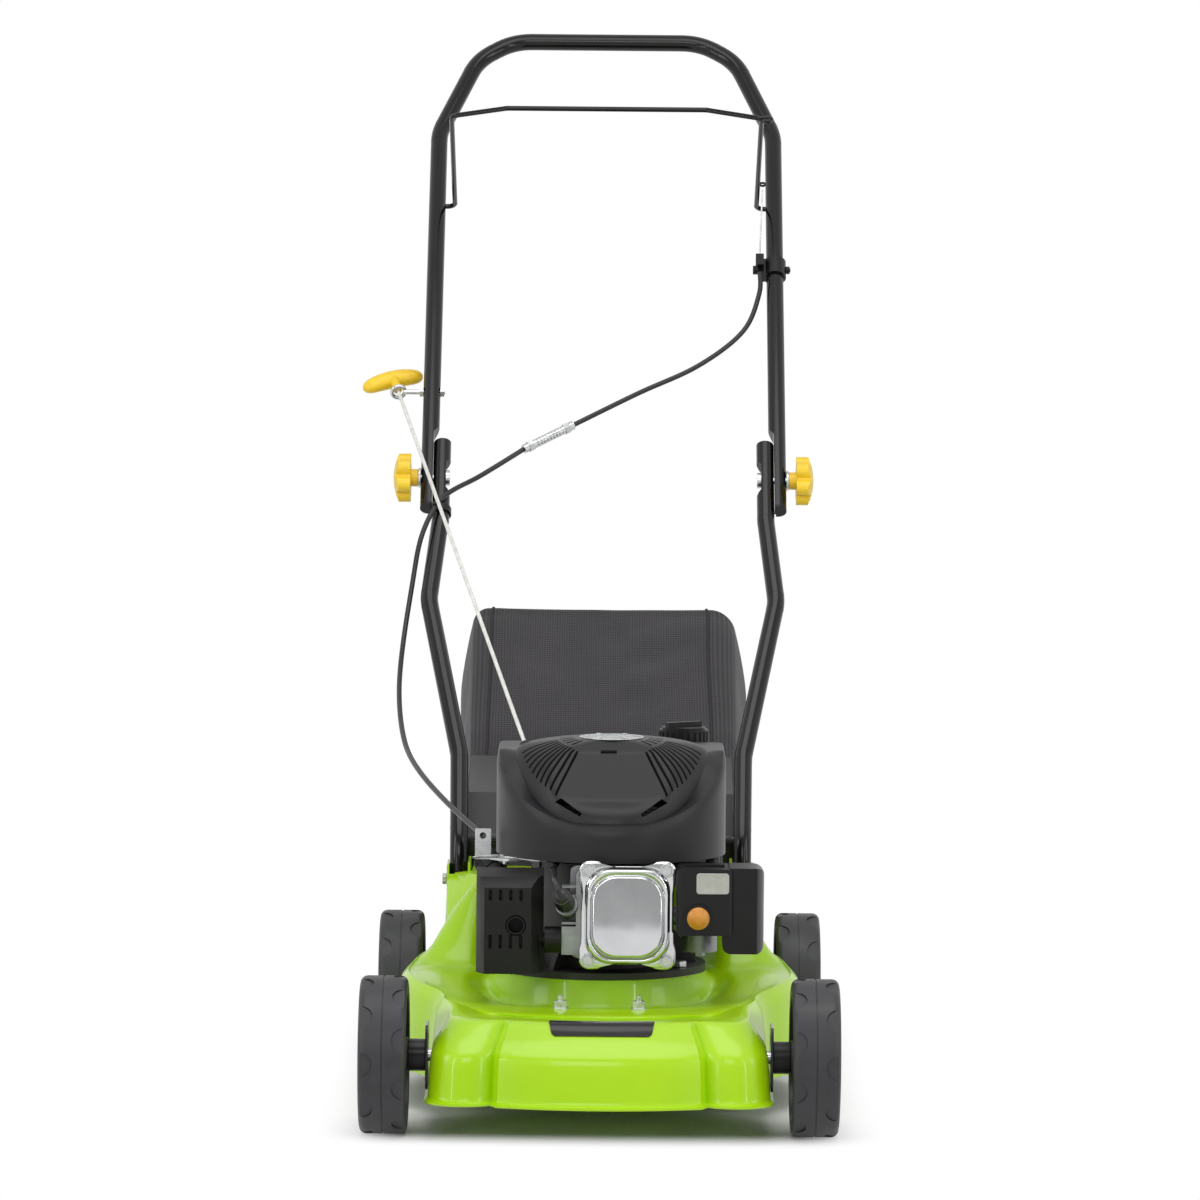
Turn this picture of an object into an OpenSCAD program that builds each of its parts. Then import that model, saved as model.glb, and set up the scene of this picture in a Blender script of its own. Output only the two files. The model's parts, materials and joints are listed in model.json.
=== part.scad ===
// Walk-behind petrol lawn mower with a folding tube handle and a rear grass bag.
// Millimetres, +Z up, front of the mower towards -Y, origin on the ground under the crankshaft.

/* [Wheels and axles] */
// Outer diameter of each wheel
wheel_d = 152; // [144:2:164]
// Width of each wheel across the tread
wheel_w = 46; // [40:1:48]
// Distance between the outer faces of a pair of wheels
track_w = 461; // [457:1:475]
// Distance from the crankshaft forward to the front axle
front_axle_reach = 265; // [255:1:270]
// Distance between the front and the rear axle
wheelbase = 550; // [540:1:565]
// Diameter of the axle rods
axle_d = 12; // [10:0.5:13]
// Step between two cutting heights
height_step = 17; // [15:0.5:18]

/* [Deck] */
// Outer radius of the round cutting chamber
chamber_r = 208; // [205:1:212]
// Sheet thickness of the deck
sheet = 2; // [1.5:0.1:2.4]
// Half width of the straight sides of the deck
deck_half_w = 164; // [162:0.5:166]
// Distance from the crankshaft to the bowed front edge
front_reach = 355; // [350:1:365]
// How far the middle of the front bows out
front_bow = 16; // [10:1:20]
// Distance from the crankshaft to the rear edge of the deck
rear_reach = 328; // [326:1:332]
// Height of the deck's lower edge above the axle centres, negative below
rim_drop = -36; // [-40:1:-32]
// Length of the blade
blade_len = 390; // [360:2:396]

/* [Handle] */
// Diameter of the handle tubes
tube_d = 19; // [18:0.5:20]
// Wall thickness of the handle tubes
tube_wall = 1.5; // [1.2:0.1:2]
// Slope of the handle above the horizontal
handle_angle = 50; // [48:1:52]
// Half distance between the upper handle's straight tubes
upper_half_w = 190; // [188:1:194]
// Length along the slope from the lower knee to the knob bolts
knob_t = 485; // [480:1:490]
// Length along the slope from the lower knee to the top bar
bar_t = 1118.6; // [1110:1:1130]
// Length of the straight part of the top bar
bar_len = 214; // [200:2:224]
// Diameter of the knob bolts
knob_bolt_d = 8; // [7:0.5:9]
// Diameter of the clamping knobs
knob_d = 53; // [44:1:60]
// Diameter of the bail wire
wire_d = 5.5; // [5:0.25:6]

/* [Engine] */
// Radius of the engine's mounting flange
flange_r = 106; // [102:1:108]
// Radius of the crankcase
crankcase_r = 70; // [66:1:72]
// Diameter of the crankshaft below the crankcase
crank_d = 22.2; // [20:0.1:25]
// Radius of the shroud's round front
shroud_r = 115; // [113:1:117]
// Radius of the flywheel
flywheel_r = 76; // [70:1:77]
// Width of the valve cover
cover_w = 95; // [90:1:98]
// Height of the valve cover
cover_h = 107; // [100:1:108]
// Diameter of the primer bulb
primer_d = 22; // [18:0.5:24]
// Diameter of the fuel cap
cap_d = 52; // [46:1:56]

/* [Rear] */
// Width of the discharge flap
flap_w = 280; // [260:2:284]
// Width of the grass bag at its widest
bag_w = 320; // [300:2:330]
// Length of the grass bag
bag_len = 345; // [320:5:360]

/* [Hidden] */
$fn = 48;

// Clearances
fit_gap = 0.05;      // radial, shaft in bore
seat_gap = 0.3;      // between pieces that move against each other
far = 400;           // long enough to cut through anything

// Heights above the ground
axle_z = wheel_d / 2;
rim_z = axle_z + rim_drop;
platform_z = rim_z + 88;
engine_z = platform_z;
front_axle_y = -front_axle_reach;
rear_axle_y = wheelbase - front_axle_reach;

// ---------- shared helpers ----------

function unit(v) = v / norm(v);
function mix(a, b, f) = a + (b - a) * f;
function clamp01(f) = max(0, min(1, f));
function smooth(f) = let (g = clamp01(f)) g * g * (3 - 2 * g);
function arc(cx, cy, r, from, to, steps) =
    [for (i = [0:steps]) let (a = mix(from, to, i / steps)) [cx + r * cos(a), cy + r * sin(a)]];

module rod_x(x0, x1, r, y = 0, z = 0) translate([x0, y, z]) rotate([0, 90, 0]) cylinder(r = r, h = x1 - x0);
module rod_y(y0, y1, r, x = 0, z = 0) translate([x, y0, z]) rotate([-90, 0, 0]) cylinder(r = r, h = y1 - y0);
module rod_z(z0, z1, r, x = 0, y = 0) translate([x, y, z0]) cylinder(r = r, h = z1 - z0);
module hex_x(x0, x1, across, y = 0, z = 0)
    translate([x0, y, z]) rotate([0, 90, 0]) cylinder(r = across / sqrt(3), h = x1 - x0, $fn = 6);
module hex_z(z0, z1, across, x = 0, y = 0)
    translate([x, y, z0]) cylinder(r = across / sqrt(3), h = z1 - z0, $fn = 6);
module block(lo, hi) translate(lo) cube(hi - lo);
module both_sides() for (side = [0, 1]) mirror([side, 0, 0]) children();

// Rectangle with round corners, centred
module round_rect(w, h, r) {
    square([w - 2 * r, h], center = true);
    square([w, h - 2 * r], center = true);
    for (x = [-1, 1], y = [-1, 1]) translate([x * (w / 2 - r), y * (h / 2 - r)]) circle(r);
}

// Plate in the X-Z plane, from y0 to y1, centred on x and z
module front_plate(y0, y1, x, z) translate([x, y1, z]) rotate([90, 0, 0]) linear_extrude(y1 - y0) children();

// Skin over rings of points: a closed loft joins its last ring to its first, an open one is capped
module loft(rings, closed = false) {
    m = len(rings[0]);
    n = len(rings);
    sides = [for (i = [0:(closed ? n : n - 1) - 1], j = [0:m - 1])
        let (a = i * m + j, b = i * m + (j + 1) % m, c = ((i + 1) % n) * m + (j + 1) % m, d = ((i + 1) % n) * m + j)
        each [[a, c, b], [a, d, c]]];
    caps = closed ? [] : [[for (j = [0:m - 1]) j], [for (j = [m - 1:-1:0]) (n - 1) * m + j]];
    polyhedron(points = [for (r = rings) each r], faces = concat(sides, caps), convexity = 8);
}

// Places children so that their +Z runs along a direction
module along(origin, dir) {
    d = unit(dir);
    side = abs(d.x) > 0.9 ? [0, 1, 0] : [1, 0, 0];
    a = unit(cross(cross(d, side), d));
    b = cross(d, a);
    multmatrix([[a.x, b.x, d.x, origin.x], [a.y, b.y, d.y, origin.y], [a.z, b.z, d.z, origin.z]]) children();
}

// Bar of radius r along a chain of points with rounded corners. A collar at each end of a bend, thicker by
// a tenth, closes the hair gap left between the straight and the bent piece.
collar_over = 0.1;
collar_half = 0.6;
hair_gap = 0.1;
function turn(p, i) = let (a = unit(p[i] - p[i - 1]), b = unit(p[i + 1] - p[i])) acos(max(-1, min(1, a * b)));
function setback(p, i, bend) = i <= 0 || i >= len(p) - 1 ? 0 : bend * tan(turn(p, i) / 2);
module bent_bar(p, bend, r) {
    last = len(p) - 1;
    for (i = [0:last - 1]) {
        d = unit(p[i + 1] - p[i]);
        from = i == 0 ? 0 : setback(p, i, bend) + hair_gap;
        to = norm(p[i + 1] - p[i]) - (i == last - 1 ? 0 : setback(p, i + 1, bend) + hair_gap);
        along(p[i] + d * from, d) cylinder(r = r, h = to - from);
    }
    for (i = [1:last - 1]) {
        a = unit(p[i] - p[i - 1]);
        b = unit(p[i + 1] - p[i]);
        n = unit(b - a * (a * b));
        s = setback(p, i, bend);
        c = p[i] - a * s + n * bend;
        w = cross(a, n);
        multmatrix([[-n.x, a.x, w.x, c.x], [-n.y, a.y, w.y, c.y], [-n.z, a.z, w.z, c.z]])
            rotate_extrude(angle = turn(p, i)) translate([bend, 0]) circle(r);
        for (end = [[-a, p[i] - a * s], [b, p[i] + b * s]])
            along(end[1] - end[0] * collar_half, end[0]) cylinder(r = r + collar_over, h = 2 * collar_half);
    }
}
function stretched(p, by) = [for (i = [0:len(p) - 1]) i == 0 ? p[0] - by * unit(p[1] - p[0])
    : i == len(p) - 1 ? p[i] + by * unit(p[i] - p[i - 1]) : p[i]];

// Cord of radius r through hand-set points, as one skin with a ring at each step of a smooth curve
function spline(p, i, f) = let (
    a = p[max(0, i - 1)], b = p[i], c = p[i + 1], d = p[min(len(p) - 1, i + 2)], f2 = f * f, f3 = f2 * f)
    0.5 * (2 * b + (c - a) * f + (2 * a - 5 * b + 4 * c - d) * f2 + (3 * b - a - 3 * c + d) * f3);
function curve(p, steps) = concat(
    [for (i = [0:len(p) - 2], k = [0:steps - 1]) spline(p, i, k / steps)], [p[len(p) - 1]]);
module cord(p, r, steps, sides = 8) {
    q = curve(p, steps);
    last = len(q) - 1;
    loft([for (i = [0:last]) let (
        d = unit(q[min(last, i + 1)] - q[max(0, i - 1)]),
        a = unit(cross([0.3, 1, 0.2], d)), b = cross(d, a))
        [for (k = [0:sides - 1]) q[i] + r * (a * cos(k * 360 / sides) + b * sin(k * 360 / sides))]]);
}

// ---------- deck ----------

crease_x = 97;               // where the bowed middle meets the corner lobes
lobe_rx = 36;
lobe_ry = 33;
front_z = rim_z + 66;        // shoulder height at the front
side_z = rim_z + 84;         // shoulder height beside the chamber
roof_z = rim_z + 158;        // shoulder height at the rear
crest_front_z = rim_z + 78;
crest_rear_z = rim_z + 163;
well_r = 46;                 // hole for the crankshaft and the blade adapter

deck_right_half = concat(
    [for (i = [0:4]) let (x = crease_x * i / 4) [x, -front_reach + front_bow * pow(i / 4, 2)]],
    [[crease_x + 4, -front_reach + front_bow + 11]],
    [for (a = [-135:22.5:0]) [deck_half_w - lobe_rx + lobe_rx * cos(a),
        -front_reach + front_bow + lobe_ry + 3 + lobe_ry * sin(a)]],
    [for (y = [-250, -200, -150]) [deck_half_w, y]],
    [[deck_half_w + 2, -137], [deck_half_w + 6, -124]],
    [for (a = [-32:8:32]) chamber_r * [cos(a), sin(a)]],
    [[deck_half_w + 6, 124], [deck_half_w + 2, 137]],
    [for (f = [0, 0.31, 0.63, 1]) [deck_half_w, mix(150, rear_reach - 48, f)]],
    [[deck_half_w, rear_reach - 9], [deck_half_w - 3, rear_reach - 3], [deck_half_w - 10, rear_reach]],
    [[110, rear_reach], [55, rear_reach], [0, rear_reach]]);
deck_outline = concat(deck_right_half,
    [for (i = [len(deck_right_half) - 2:-1:1]) [-deck_right_half[i].x, deck_right_half[i].y]]);

function shoulder_at(y) = front_z + (side_z - front_z) * smooth((y + 190) / 190)
    + (roof_z - side_z) * smooth((y - 20) / 110);
function crest_at(y) = mix(crest_front_z, crest_rear_z, smooth((y + 190) / 260));
function moat_at(y) = mix(rim_z + 64, platform_z - 6, smooth((y + 150) / 200));

// Section of the pressed sheet on one ray from the crankshaft: distance from the axis and height
function deck_section(foot_r, y) = let (
    shoulder = shoulder_at(y), crest = crest_at(y), moat = moat_at(y),
    apron_r = min(foot_r - 17, chamber_r + 5), ring_r = min(foot_r - 22, chamber_r - 3))
    [[foot_r + 7, rim_z - 1.5], [foot_r + 1.5, rim_z + 1], [foot_r, rim_z + 5],
     [foot_r - 3, mix(rim_z, shoulder, 0.55)], [foot_r - 7, shoulder - 10], [foot_r - 14, shoulder - 1.5],
     [mix(apron_r, foot_r - 14, 0.45), shoulder + 2 + 3 * smooth((foot_r - chamber_r - 60) / 60)],
     [apron_r, mix(shoulder, crest, 0.1)], [ring_r, mix(shoulder, crest, 0.32)],
     [178, mix(shoulder, crest, 0.72)], [163, crest], [148, crest - 1], [135, mix(moat, crest, 0.7)],
     [122, mix(moat, crest, 0.1)], [113, moat], [106, platform_z - 1.5], [101, platform_z], [well_r, platform_z]];

// Same section moved to the inner side of the sheet
function inner_section(s, t) = [for (i = [0:len(s) - 1]) let (
    d = unit(s[min(len(s) - 1, i + 1)] - s[max(0, i - 1)])) s[i] + t * [-d.y, d.x]];

function on_rays(sections, level, outline) = [for (i = [0:len(outline) - 1])
    let (e = unit(outline[i]), s = sections[i][level]) [e.x * s.x, e.y * s.x, s.y]];

module deck_skin() {
    outer = [for (p = deck_outline) deck_section(norm(p), p.y)];
    inner = [for (s = outer) inner_section(s, sheet)];
    levels = len(outer[0]);
    loft(concat(
        [for (k = [0:levels - 1]) on_rays(outer, k, deck_outline)],
        [for (k = [levels - 1:-1:0]) on_rays(inner, k, deck_outline)]), closed = true);
}

pocket_x0 = 136;             // inner face of the handle pocket
pocket_y0 = rear_axle_y - 49;
pocket_y1 = rear_axle_y - 8;
pocket_floor = rim_z + 128;
chute_half_w = 138;
chute_z0 = rim_z + 68;       // lower edge of the opening in the rear wall
chute_z1 = rim_z + 150;
bracket_t = 2.5;
deck_bolt_r = 3;
deck_bolts_at = [[-38.5, -150], [38.5, -150]];

// Cut for an axle that can stand at three heights in the side wall
module axle_slot(y) for (side = [-1, 1])
    block([side * deck_half_w - 12, y - axle_d / 2 - 2, axle_z - height_step - axle_d / 2 - 2],
        [side * deck_half_w + 12, y + axle_d / 2 + 2, axle_z + height_step + axle_d / 2 + 2]);

module deck() color("yellowgreen") difference() {
    deck_skin();
    both_sides()
        block([pocket_x0 - 2, pocket_y0, pocket_floor], [deck_half_w + 20, rear_reach + 20, rim_z + 220]);
    block([-chute_half_w, rear_reach - 16, chute_z0], [chute_half_w, rear_reach + 8, chute_z1]);
    axle_slot(front_axle_y);
    axle_slot(rear_axle_y);
    for (p = deck_bolts_at) rod_z(rim_z + 50, rim_z + 90, deck_bolt_r + fit_gap, p.x, p.y);
    for (p = engine_bolts) rod_z(platform_z - 10, platform_z + 5, engine_bolt_r + fit_gap, p.x, p.y);
}

// Curved wall that closes the chamber in front of the blade, and the ramp under the rear chute
baffle_r = chamber_r - 6;
module deck_baffles() color("dimgray") {
    translate([0, 0, rim_z + 4]) rotate([0, 0, 222]) rotate_extrude(angle = 96)
        translate([baffle_r - 1.5, 0]) square([1.5, front_z - rim_z - 6]);
    ramp_y0 = 196;
    ramp_z0 = rim_z + 14;
    ramp_y1 = rear_reach - 5.5;
    ramp_z1 = chute_z0 - 2;
    translate([-chute_half_w - 18, 0, 0]) rotate([90, 0, 90]) linear_extrude(2 * (chute_half_w + 18))
        polygon([[ramp_y0, ramp_z0], [ramp_y1, ramp_z1], [ramp_y1, ramp_z1 + 2], [ramp_y0 - 1, ramp_z0 + 2]]);
}

// Plate behind the deck that frames the chute and carries the flap rod
hinge_y = rear_reach + 8.5;
hinge_z = rim_z + 184;
rod_r = 3;
module rear_plate() color("black") difference() {
    union() {
        front_plate(rear_reach, rear_reach + 2, 0, (chute_z0 + hinge_z) / 2 - 4)
            square([2 * chute_half_w + 22, hinge_z - chute_z0 + 4], center = true);
        both_sides()
            translate([flap_w / 2 + 3, 0, 0]) rotate([90, 0, 90]) linear_extrude(2.5)
                polygon([[rear_reach, hinge_z - 36], [rear_reach + 8, hinge_z - 12], [hinge_y + 8, hinge_z - 8],
                    [hinge_y + 8, hinge_z + 6], [hinge_y + 4, hinge_z + 9], [rear_reach, hinge_z + 9]]);
    }
    front_plate(rear_reach - 1, rear_reach + 3, 0, (chute_z0 + chute_z1) / 2)
        square([2 * chute_half_w, chute_z1 - chute_z0], center = true);
    rod_x(-chute_half_w - 20, chute_half_w + 20, rod_r + fit_gap, hinge_y, hinge_z);
}

// ---------- handle geometry ----------

foot_x = 148;
foot_y = rear_axle_y - 33;
foot_z = pocket_floor + 6;
knee_z = rim_z + 183;
tube_r = tube_d / 2;
bore_r = tube_r - tube_wall;
along_slope = [0, cos(handle_angle), sin(handle_angle)];
// Point on the handle's plane: x across, t up the slope from the knee
function on_plane(x, t) = [x, foot_y, knee_z] + t * along_slope;
module at_handle(x, t) translate(on_plane(x, t)) rotate([handle_angle - 90, 0, 0]) children();

crush = 6;                   // depth of the flat pressed into each upper tube at the knob
mate_x = upper_half_w - tube_r + crush;
lower_top_x = mate_x - seat_gap - tube_r;
lower_points = [[foot_x, foot_y, foot_z], [foot_x, foot_y, knee_z], on_plane(150, 117), on_plane(187, knob_t - 165),
    on_plane(lower_top_x, knob_t - 56), on_plane(lower_top_x, knob_t + 47)];
lower_end_t = knob_t + 47;
upper_end_t = knob_t - 39;
handle_bend = 65;
upper_points = concat(
    [on_plane(upper_half_w, upper_end_t), on_plane(upper_half_w, bar_t - 139), on_plane(148, bar_t - 28.6),
     on_plane(bar_len / 2, bar_t)],
    [on_plane(-bar_len / 2, bar_t), on_plane(-148, bar_t - 28.6), on_plane(-upper_half_w, bar_t - 139),
     on_plane(-upper_half_w, upper_end_t)]);
foot_bolt_z = foot_z + 15.5;
foot_bolt_r = 3;
head_flat_x = lower_top_x - tube_r + 5;
knob_r = knob_bolt_d / 2;

// Prism with sloping ends that presses a flat into a tube, from x0 outwards to x1
module flat_cut(x0, x1, half_len, ramp) rotate([90, 0, 0]) translate([0, 0, -20]) linear_extrude(40)
    polygon([[x0, -half_len - ramp], [x1, -half_len], [x1, half_len], [x0, half_len + ramp]]);

// Bent tube, pressed flat where the children cut it: the first child cuts the outside, the second the bore
module pressed_tube(points) difference() {
    difference() {
        bent_bar(points, handle_bend, tube_r);
        children(0);
    }
    difference() {
        bent_bar(stretched(points, 2), handle_bend, bore_r);
        children(1);
    }
}
module lower_flat(depth) at_handle(0, knob_t) translate([depth, 0, 0])
    flat_cut(lower_top_x - tube_r - 6, head_flat_x, 17, 12);
module lower_handle(side) mirror([side < 0 ? 1 : 0, 0, 0]) difference() {
    pressed_tube(lower_points) {
        lower_flat(0);
        lower_flat(tube_wall);
    }
    at_handle(0, knob_t) rod_x(foot_x, mate_x + 20, knob_r + fit_gap);
    rod_x(foot_x - 30, foot_x + 30, foot_bolt_r + fit_gap, foot_y, foot_bolt_z);
}
module lower_handle_left() color("black") lower_handle(-1);
module lower_handle_right() color("black") lower_handle(1);

pivot_t = 871;
pivot_in = upper_half_w - 3;
guide_t = knob_t + 119;
guide_r = 3;
clamp_t = 782;
clamp_bolt_r = 2.5;
wire_r = wire_d / 2;

module upper_flat(depth) both_sides() at_handle(0, knob_t + 6) translate([depth, 0, 0])
    flat_cut(mate_x - 20, mate_x, 52, 34);
module upper_handle() color("black") difference() {
    pressed_tube(upper_points) {
        upper_flat(0);
        upper_flat(tube_wall);
    }
    both_sides() {
        at_handle(0, knob_t) rod_x(mate_x - 12, upper_half_w + 20, knob_r + fit_gap + 0.01);
        at_handle(0, pivot_t) rod_x(upper_half_w - 16, upper_half_w, wire_r + fit_gap);
    }
    at_handle(0, guide_t) rod_x(-upper_half_w - 20, -upper_half_w + 20, guide_r + fit_gap);
    at_handle(0, clamp_t) rod_x(upper_half_w - 20, upper_half_w + 20, clamp_bolt_r + fit_gap);
}

// Plastic plugs in the open tube ends
module plug(cap_h) {
    rod_z(-14, 0, bore_r - fit_gap);
    rod_z(0, cap_h, tube_r);
}
module tube_plugs_lower() color("black") both_sides()
    at_handle(lower_top_x, lower_end_t) {
        rod_z(-14, 0, bore_r - fit_gap);
        intersection() {
            rod_z(0, 5, tube_r);
            translate([0, 0, -10.5]) sphere(15);
        }
    }
module tube_plugs_upper() color("black") both_sides()
    at_handle(upper_half_w, upper_end_t) intersection() {
        mirror([0, 0, 1]) union() {
            rod_z(-14, 0, bore_r - fit_gap);
            rod_z(0, 3, tube_r);
        }
        block([mate_x - upper_half_w + tube_wall + fit_gap, -20, -10], [20, 20, 30]);
    }

// Knob bolts with round heads on the inner side, foot bolts with nuts
washer_x = upper_half_w + tube_r;
knob_x = washer_x + 2.5 + seat_gap;
module handle_bolts() color("silver") both_sides() {
    at_handle(0, knob_t) {
        rod_x(head_flat_x - 4.5, head_flat_x, 8.5);
        rod_x(head_flat_x, knob_x + 18, knob_r);
        rod_x(washer_x + 0.1, washer_x + 2.5, 11);
    }
    rod_x(pocket_x0 - 1.5, foot_x + tube_r + 5.5, foot_bolt_r, foot_y, foot_bolt_z);
    hex_x(pocket_x0 - 5.5, pocket_x0 - 1.5, 10, foot_y, foot_bolt_z);
    hex_x(foot_x + tube_r + 3.3, foot_x + tube_r + 7.5, 10, foot_y, foot_bolt_z);
}

// Clamping knob: neck, six-lobed head with a domed outer face, blind bore for the bolt
lobe_r = knob_d / 2 - 18;
module knob(side) mirror([side < 0 ? 1 : 0, 0, 0]) at_handle(0, knob_t) difference() {
    union() {
        rod_x(knob_x, knob_x + 8.5, 9.5);
        intersection() {
            translate([knob_x + 8, 0, 0]) rotate([90, 0, 90]) linear_extrude(19) {
                circle(19);
                for (i = [0:5]) rotate(i * 60) translate([18, 0]) circle(lobe_r);
            }
            translate([knob_x + 27 - 60, 0, 0]) sphere(60);
        }
    }
    rod_x(knob_x - 1, knob_x + 20, knob_r + fit_gap);
}
module knob_left() color("gold") knob(-1);
module knob_right() color("gold") knob(1);

// ---------- controls on the handle ----------

bail_rest = 152.5;           // direction of the released bail in the Y-Z plane
bail_len = 234;
bail_half_w = 170;
bail_bend = 8.5;
hook_r = 60;                 // distance of the cable eye from the pivot
module in_bail() translate(on_plane(0, pivot_t)) rotate([bail_rest - 90, 0, 0]) children();
module bail_lever() color("black") in_bail() {
    bent_bar([[pivot_in, 0, 0], [bail_half_w, 0, 0], [bail_half_w, 0, bail_len - 19], [109, 0, bail_len],
        [-109, 0, bail_len], [-bail_half_w, 0, bail_len - 19], [-bail_half_w, 0, 0], [-pivot_in, 0, 0]],
        bail_bend, wire_r);
    translate([bail_half_w + wire_r + 2.6, 0, hook_r]) rotate([90, 0, 0]) rotate_extrude()
        translate([3.5, 0]) circle(1.3);
    translate([bail_half_w + wire_r + 3.4, 0, bail_len - 21]) rotate([90, 0, 0]) rotate_extrude()
        translate([5, 0]) circle(2);
}

// Starter rope: the outlet on the recoil cover, the guide eye and the grip lie on one line
rope_from = [-76, 10, engine_z + 222];
guide_point = on_plane(-227, guide_t);
rope_dir = unit(guide_point - rope_from);
rope_r = 2;
grip_seat = 2.2 + seat_gap;

module rope_guide() color("silver") {
    along(guide_point, rope_dir) rotate_extrude() translate([7.2, 0]) circle(2.2);
    at_handle(0, guide_t) rod_x(-227 + 6, -upper_half_w + tube_r + 5, guide_r - 0.2);
    at_handle(0, guide_t) hex_x(-washer_x - 4, -washer_x, 10);
    at_handle(0, guide_t) hex_x(-upper_half_w + tube_r, -upper_half_w + tube_r + 4, 10);
}

module starter_grip() color("gold") along(guide_point, rope_dir) {
    difference() {
        union() {
            translate([0, 0, grip_seat]) cylinder(r1 = 5.5, r2 = 9, h = 26);
            translate([0, 0, grip_seat + 33]) rotate([0, 90, 0]) {
                cylinder(r = 10.5, h = 46, center = true);
                for (e = [-23, 23]) translate([0, 0, e]) sphere(10.5);
            }
        }
        translate([0, 0, -1]) cylinder(r = rope_r + 0.3, h = 22);
    }
}

rope_to = guide_point + rope_dir * (grip_seat + 6);
module starter_rope() color("white") cord([for (i = [0:8]) mix(rope_from, rope_to, i / 8)], rope_r, 7);

// Clamp that holds the upper end of the brake cable on the right tube
module cable_bracket() {
    color("black") at_handle(upper_half_w, clamp_t) difference() {
        union() {
            rod_z(-11, 11, tube_r + 3);
            block([-tube_r - 9, -7, -11], [0, 7, 11]);
            block([-tube_r - 12, -16, -4], [-tube_r - 3, -4, 11]);
        }
        rod_z(-12, 12, tube_r + 0.1);
        rod_x(-30, 30, clamp_bolt_r + 0.05);
        translate([-tube_r - 7.5, -11, -12]) cylinder(r = 3.05, h = 24);
    }
    color("silver") at_handle(upper_half_w, clamp_t) {
        rod_x(-tube_r - 14, tube_r + 8, clamp_bolt_r - 0.05);
        rod_x(-tube_r - 15, -tube_r - 9, 5);
        hex_x(tube_r + 3, tube_r + 7, 8);
    }
}

// ---------- brake cable ----------

cable_r = 2.75;
wire_core_r = 0.9;
ferrule = on_plane(upper_half_w - tube_r - 7.5, clamp_t) + [0, -11 * sin(handle_angle), 11 * cos(handle_angle)];
ferrule_top = ferrule + 12 * along_slope;
ferrule_low = ferrule - 12 * along_slope;
cable_eye = on_plane(bail_half_w + wire_r + 2.6, pivot_t) + hook_r * [0, cos(bail_rest), sin(bail_rest)];
module bail_cable() color("silver") cord([ferrule_top, mix(ferrule_top, cable_eye, 0.5) + [0, -2, 0],
    cable_eye - [0, 0, 5.5]], wire_core_r, 6);

adjuster_a = [-34, 630, 651];
adjuster_b = [-88, 605, 625];
adjuster_dir = unit(adjuster_b - adjuster_a);
module cable_upper() color("black") cord([ferrule_low, [172, 730, 795], [154, 710, 754], [104, 685, 716],
    [38, 660, 686], adjuster_a - 0.3 * adjuster_dir], cable_r, 8);
module cable_adjuster() color("silver") along(adjuster_a, adjuster_dir) {
    length = norm(adjuster_b - adjuster_a);
    difference() {
        cylinder(r = 5, h = length);
        for (z = [16:4:length - 14]) translate([0, 0, z]) rotate_extrude() translate([5.2, 0]) circle(0.9);
    }
    for (z = [6, length - 12]) translate([0, 0, z]) cylinder(r = 6.5, h = 6, $fn = 6);
}

clip_t = knob_t - 46.6;
clip_point = on_plane(-lower_top_x - 4, clip_t) + 14.5 * [0, -sin(handle_angle), cos(handle_angle)];
module clip_barrel(r, half) translate([-4, -14.5, 0]) rotate([90 - handle_angle, 0, 0])
    along([0, 0, 0], [34, 42, 50]) translate([0, 0, -half]) cylinder(r = r, h = 2 * half);
module cable_clip() color("black") at_handle(-lower_top_x, clip_t) difference() {
    union() {
        rod_z(-4, 4, tube_r + 2);
        clip_barrel(cable_r + 2.2, 3.5);
    }
    rod_z(-5, 5, tube_r + fit_gap);
    clip_barrel(cable_r + 0.4, 6);
}
cable_end = [-118, -20, 263];
module cable_lower() color("black") cord([adjuster_b + 0.3 * adjuster_dir, [-136, 572, 596], [-163, 541, 583],
    clip_point, [-197, 499, 533], [-205, 475, 486], [-214, 425, 418], [-215, 355, 371], [-206, 265, 331],
    [-187, 175, 308], [-154, 75, 284], cable_end + [-2, 7, 1.5]], cable_r, 6);

// Plate below the shroud that holds the cable end and the brake's pivot
brake_z = engine_z + 112.3;
brake_pivot = [-95, -30];
module brake_bracket() color("silver") {
    difference() {
        translate([0, 0, brake_z]) linear_extrude(2.4) polygon([[-52, -44], [-88, -48], [-100, -44], [-112, -28],
            [-126, -26], [-126, -6], [-98, -14], [-84, -8], [-50, -14]]);
        rod_z(brake_z - 1, brake_z + 4, 3 + fit_gap, brake_pivot.x, brake_pivot.y);
        rod_z(brake_z - 1, brake_z + 4, 3 + fit_gap, -58, -28);
    }
    rod_z(brake_z - 4, brake_z + 5.6, 3, brake_pivot.x, brake_pivot.y);
    rod_z(brake_z - 12, brake_z + 2.4, 3, -58, -28);
    hex_z(brake_z + 2.4, brake_z + 6, 10, -58, -28);
    difference() {
        union() {
            block([-126, -18, brake_z], [-110, -16, cable_end.z + 7]);
            rod_y(-19, -15, 7, cable_end.x, cable_end.z);
        }
        rod_y(-20, -14, 3.4, cable_end.x, cable_end.z);
    }
}
// Brake lever with the lining that rests just off the flywheel
module brake_lever() color("dimgray") {
    difference() {
        union() {
            translate([0, 0, brake_z + 2.5]) linear_extrude(2.2) polygon([[-128, -46], [-122, -38], [-104, -22],
                [-90, -20], [-70, -44], [-58, -50], [-52, -58], [-60, -68], [-68, -64], [-86, -42], [-104, -38]]);
            rod_z(brake_z + 2.5, brake_z + 5.5, 6, brake_pivot.x, brake_pivot.y);
        }
        rod_z(brake_z, brake_z + 8, 3 + fit_gap, brake_pivot.x, brake_pivot.y);
    }
    translate([0, 0, brake_z + 2.5]) rotate([0, 0, 216]) rotate_extrude(angle = 18)
        translate([flywheel_r + 2.3, 0]) square([5, 20]);
}

// ---------- engine ----------

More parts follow.
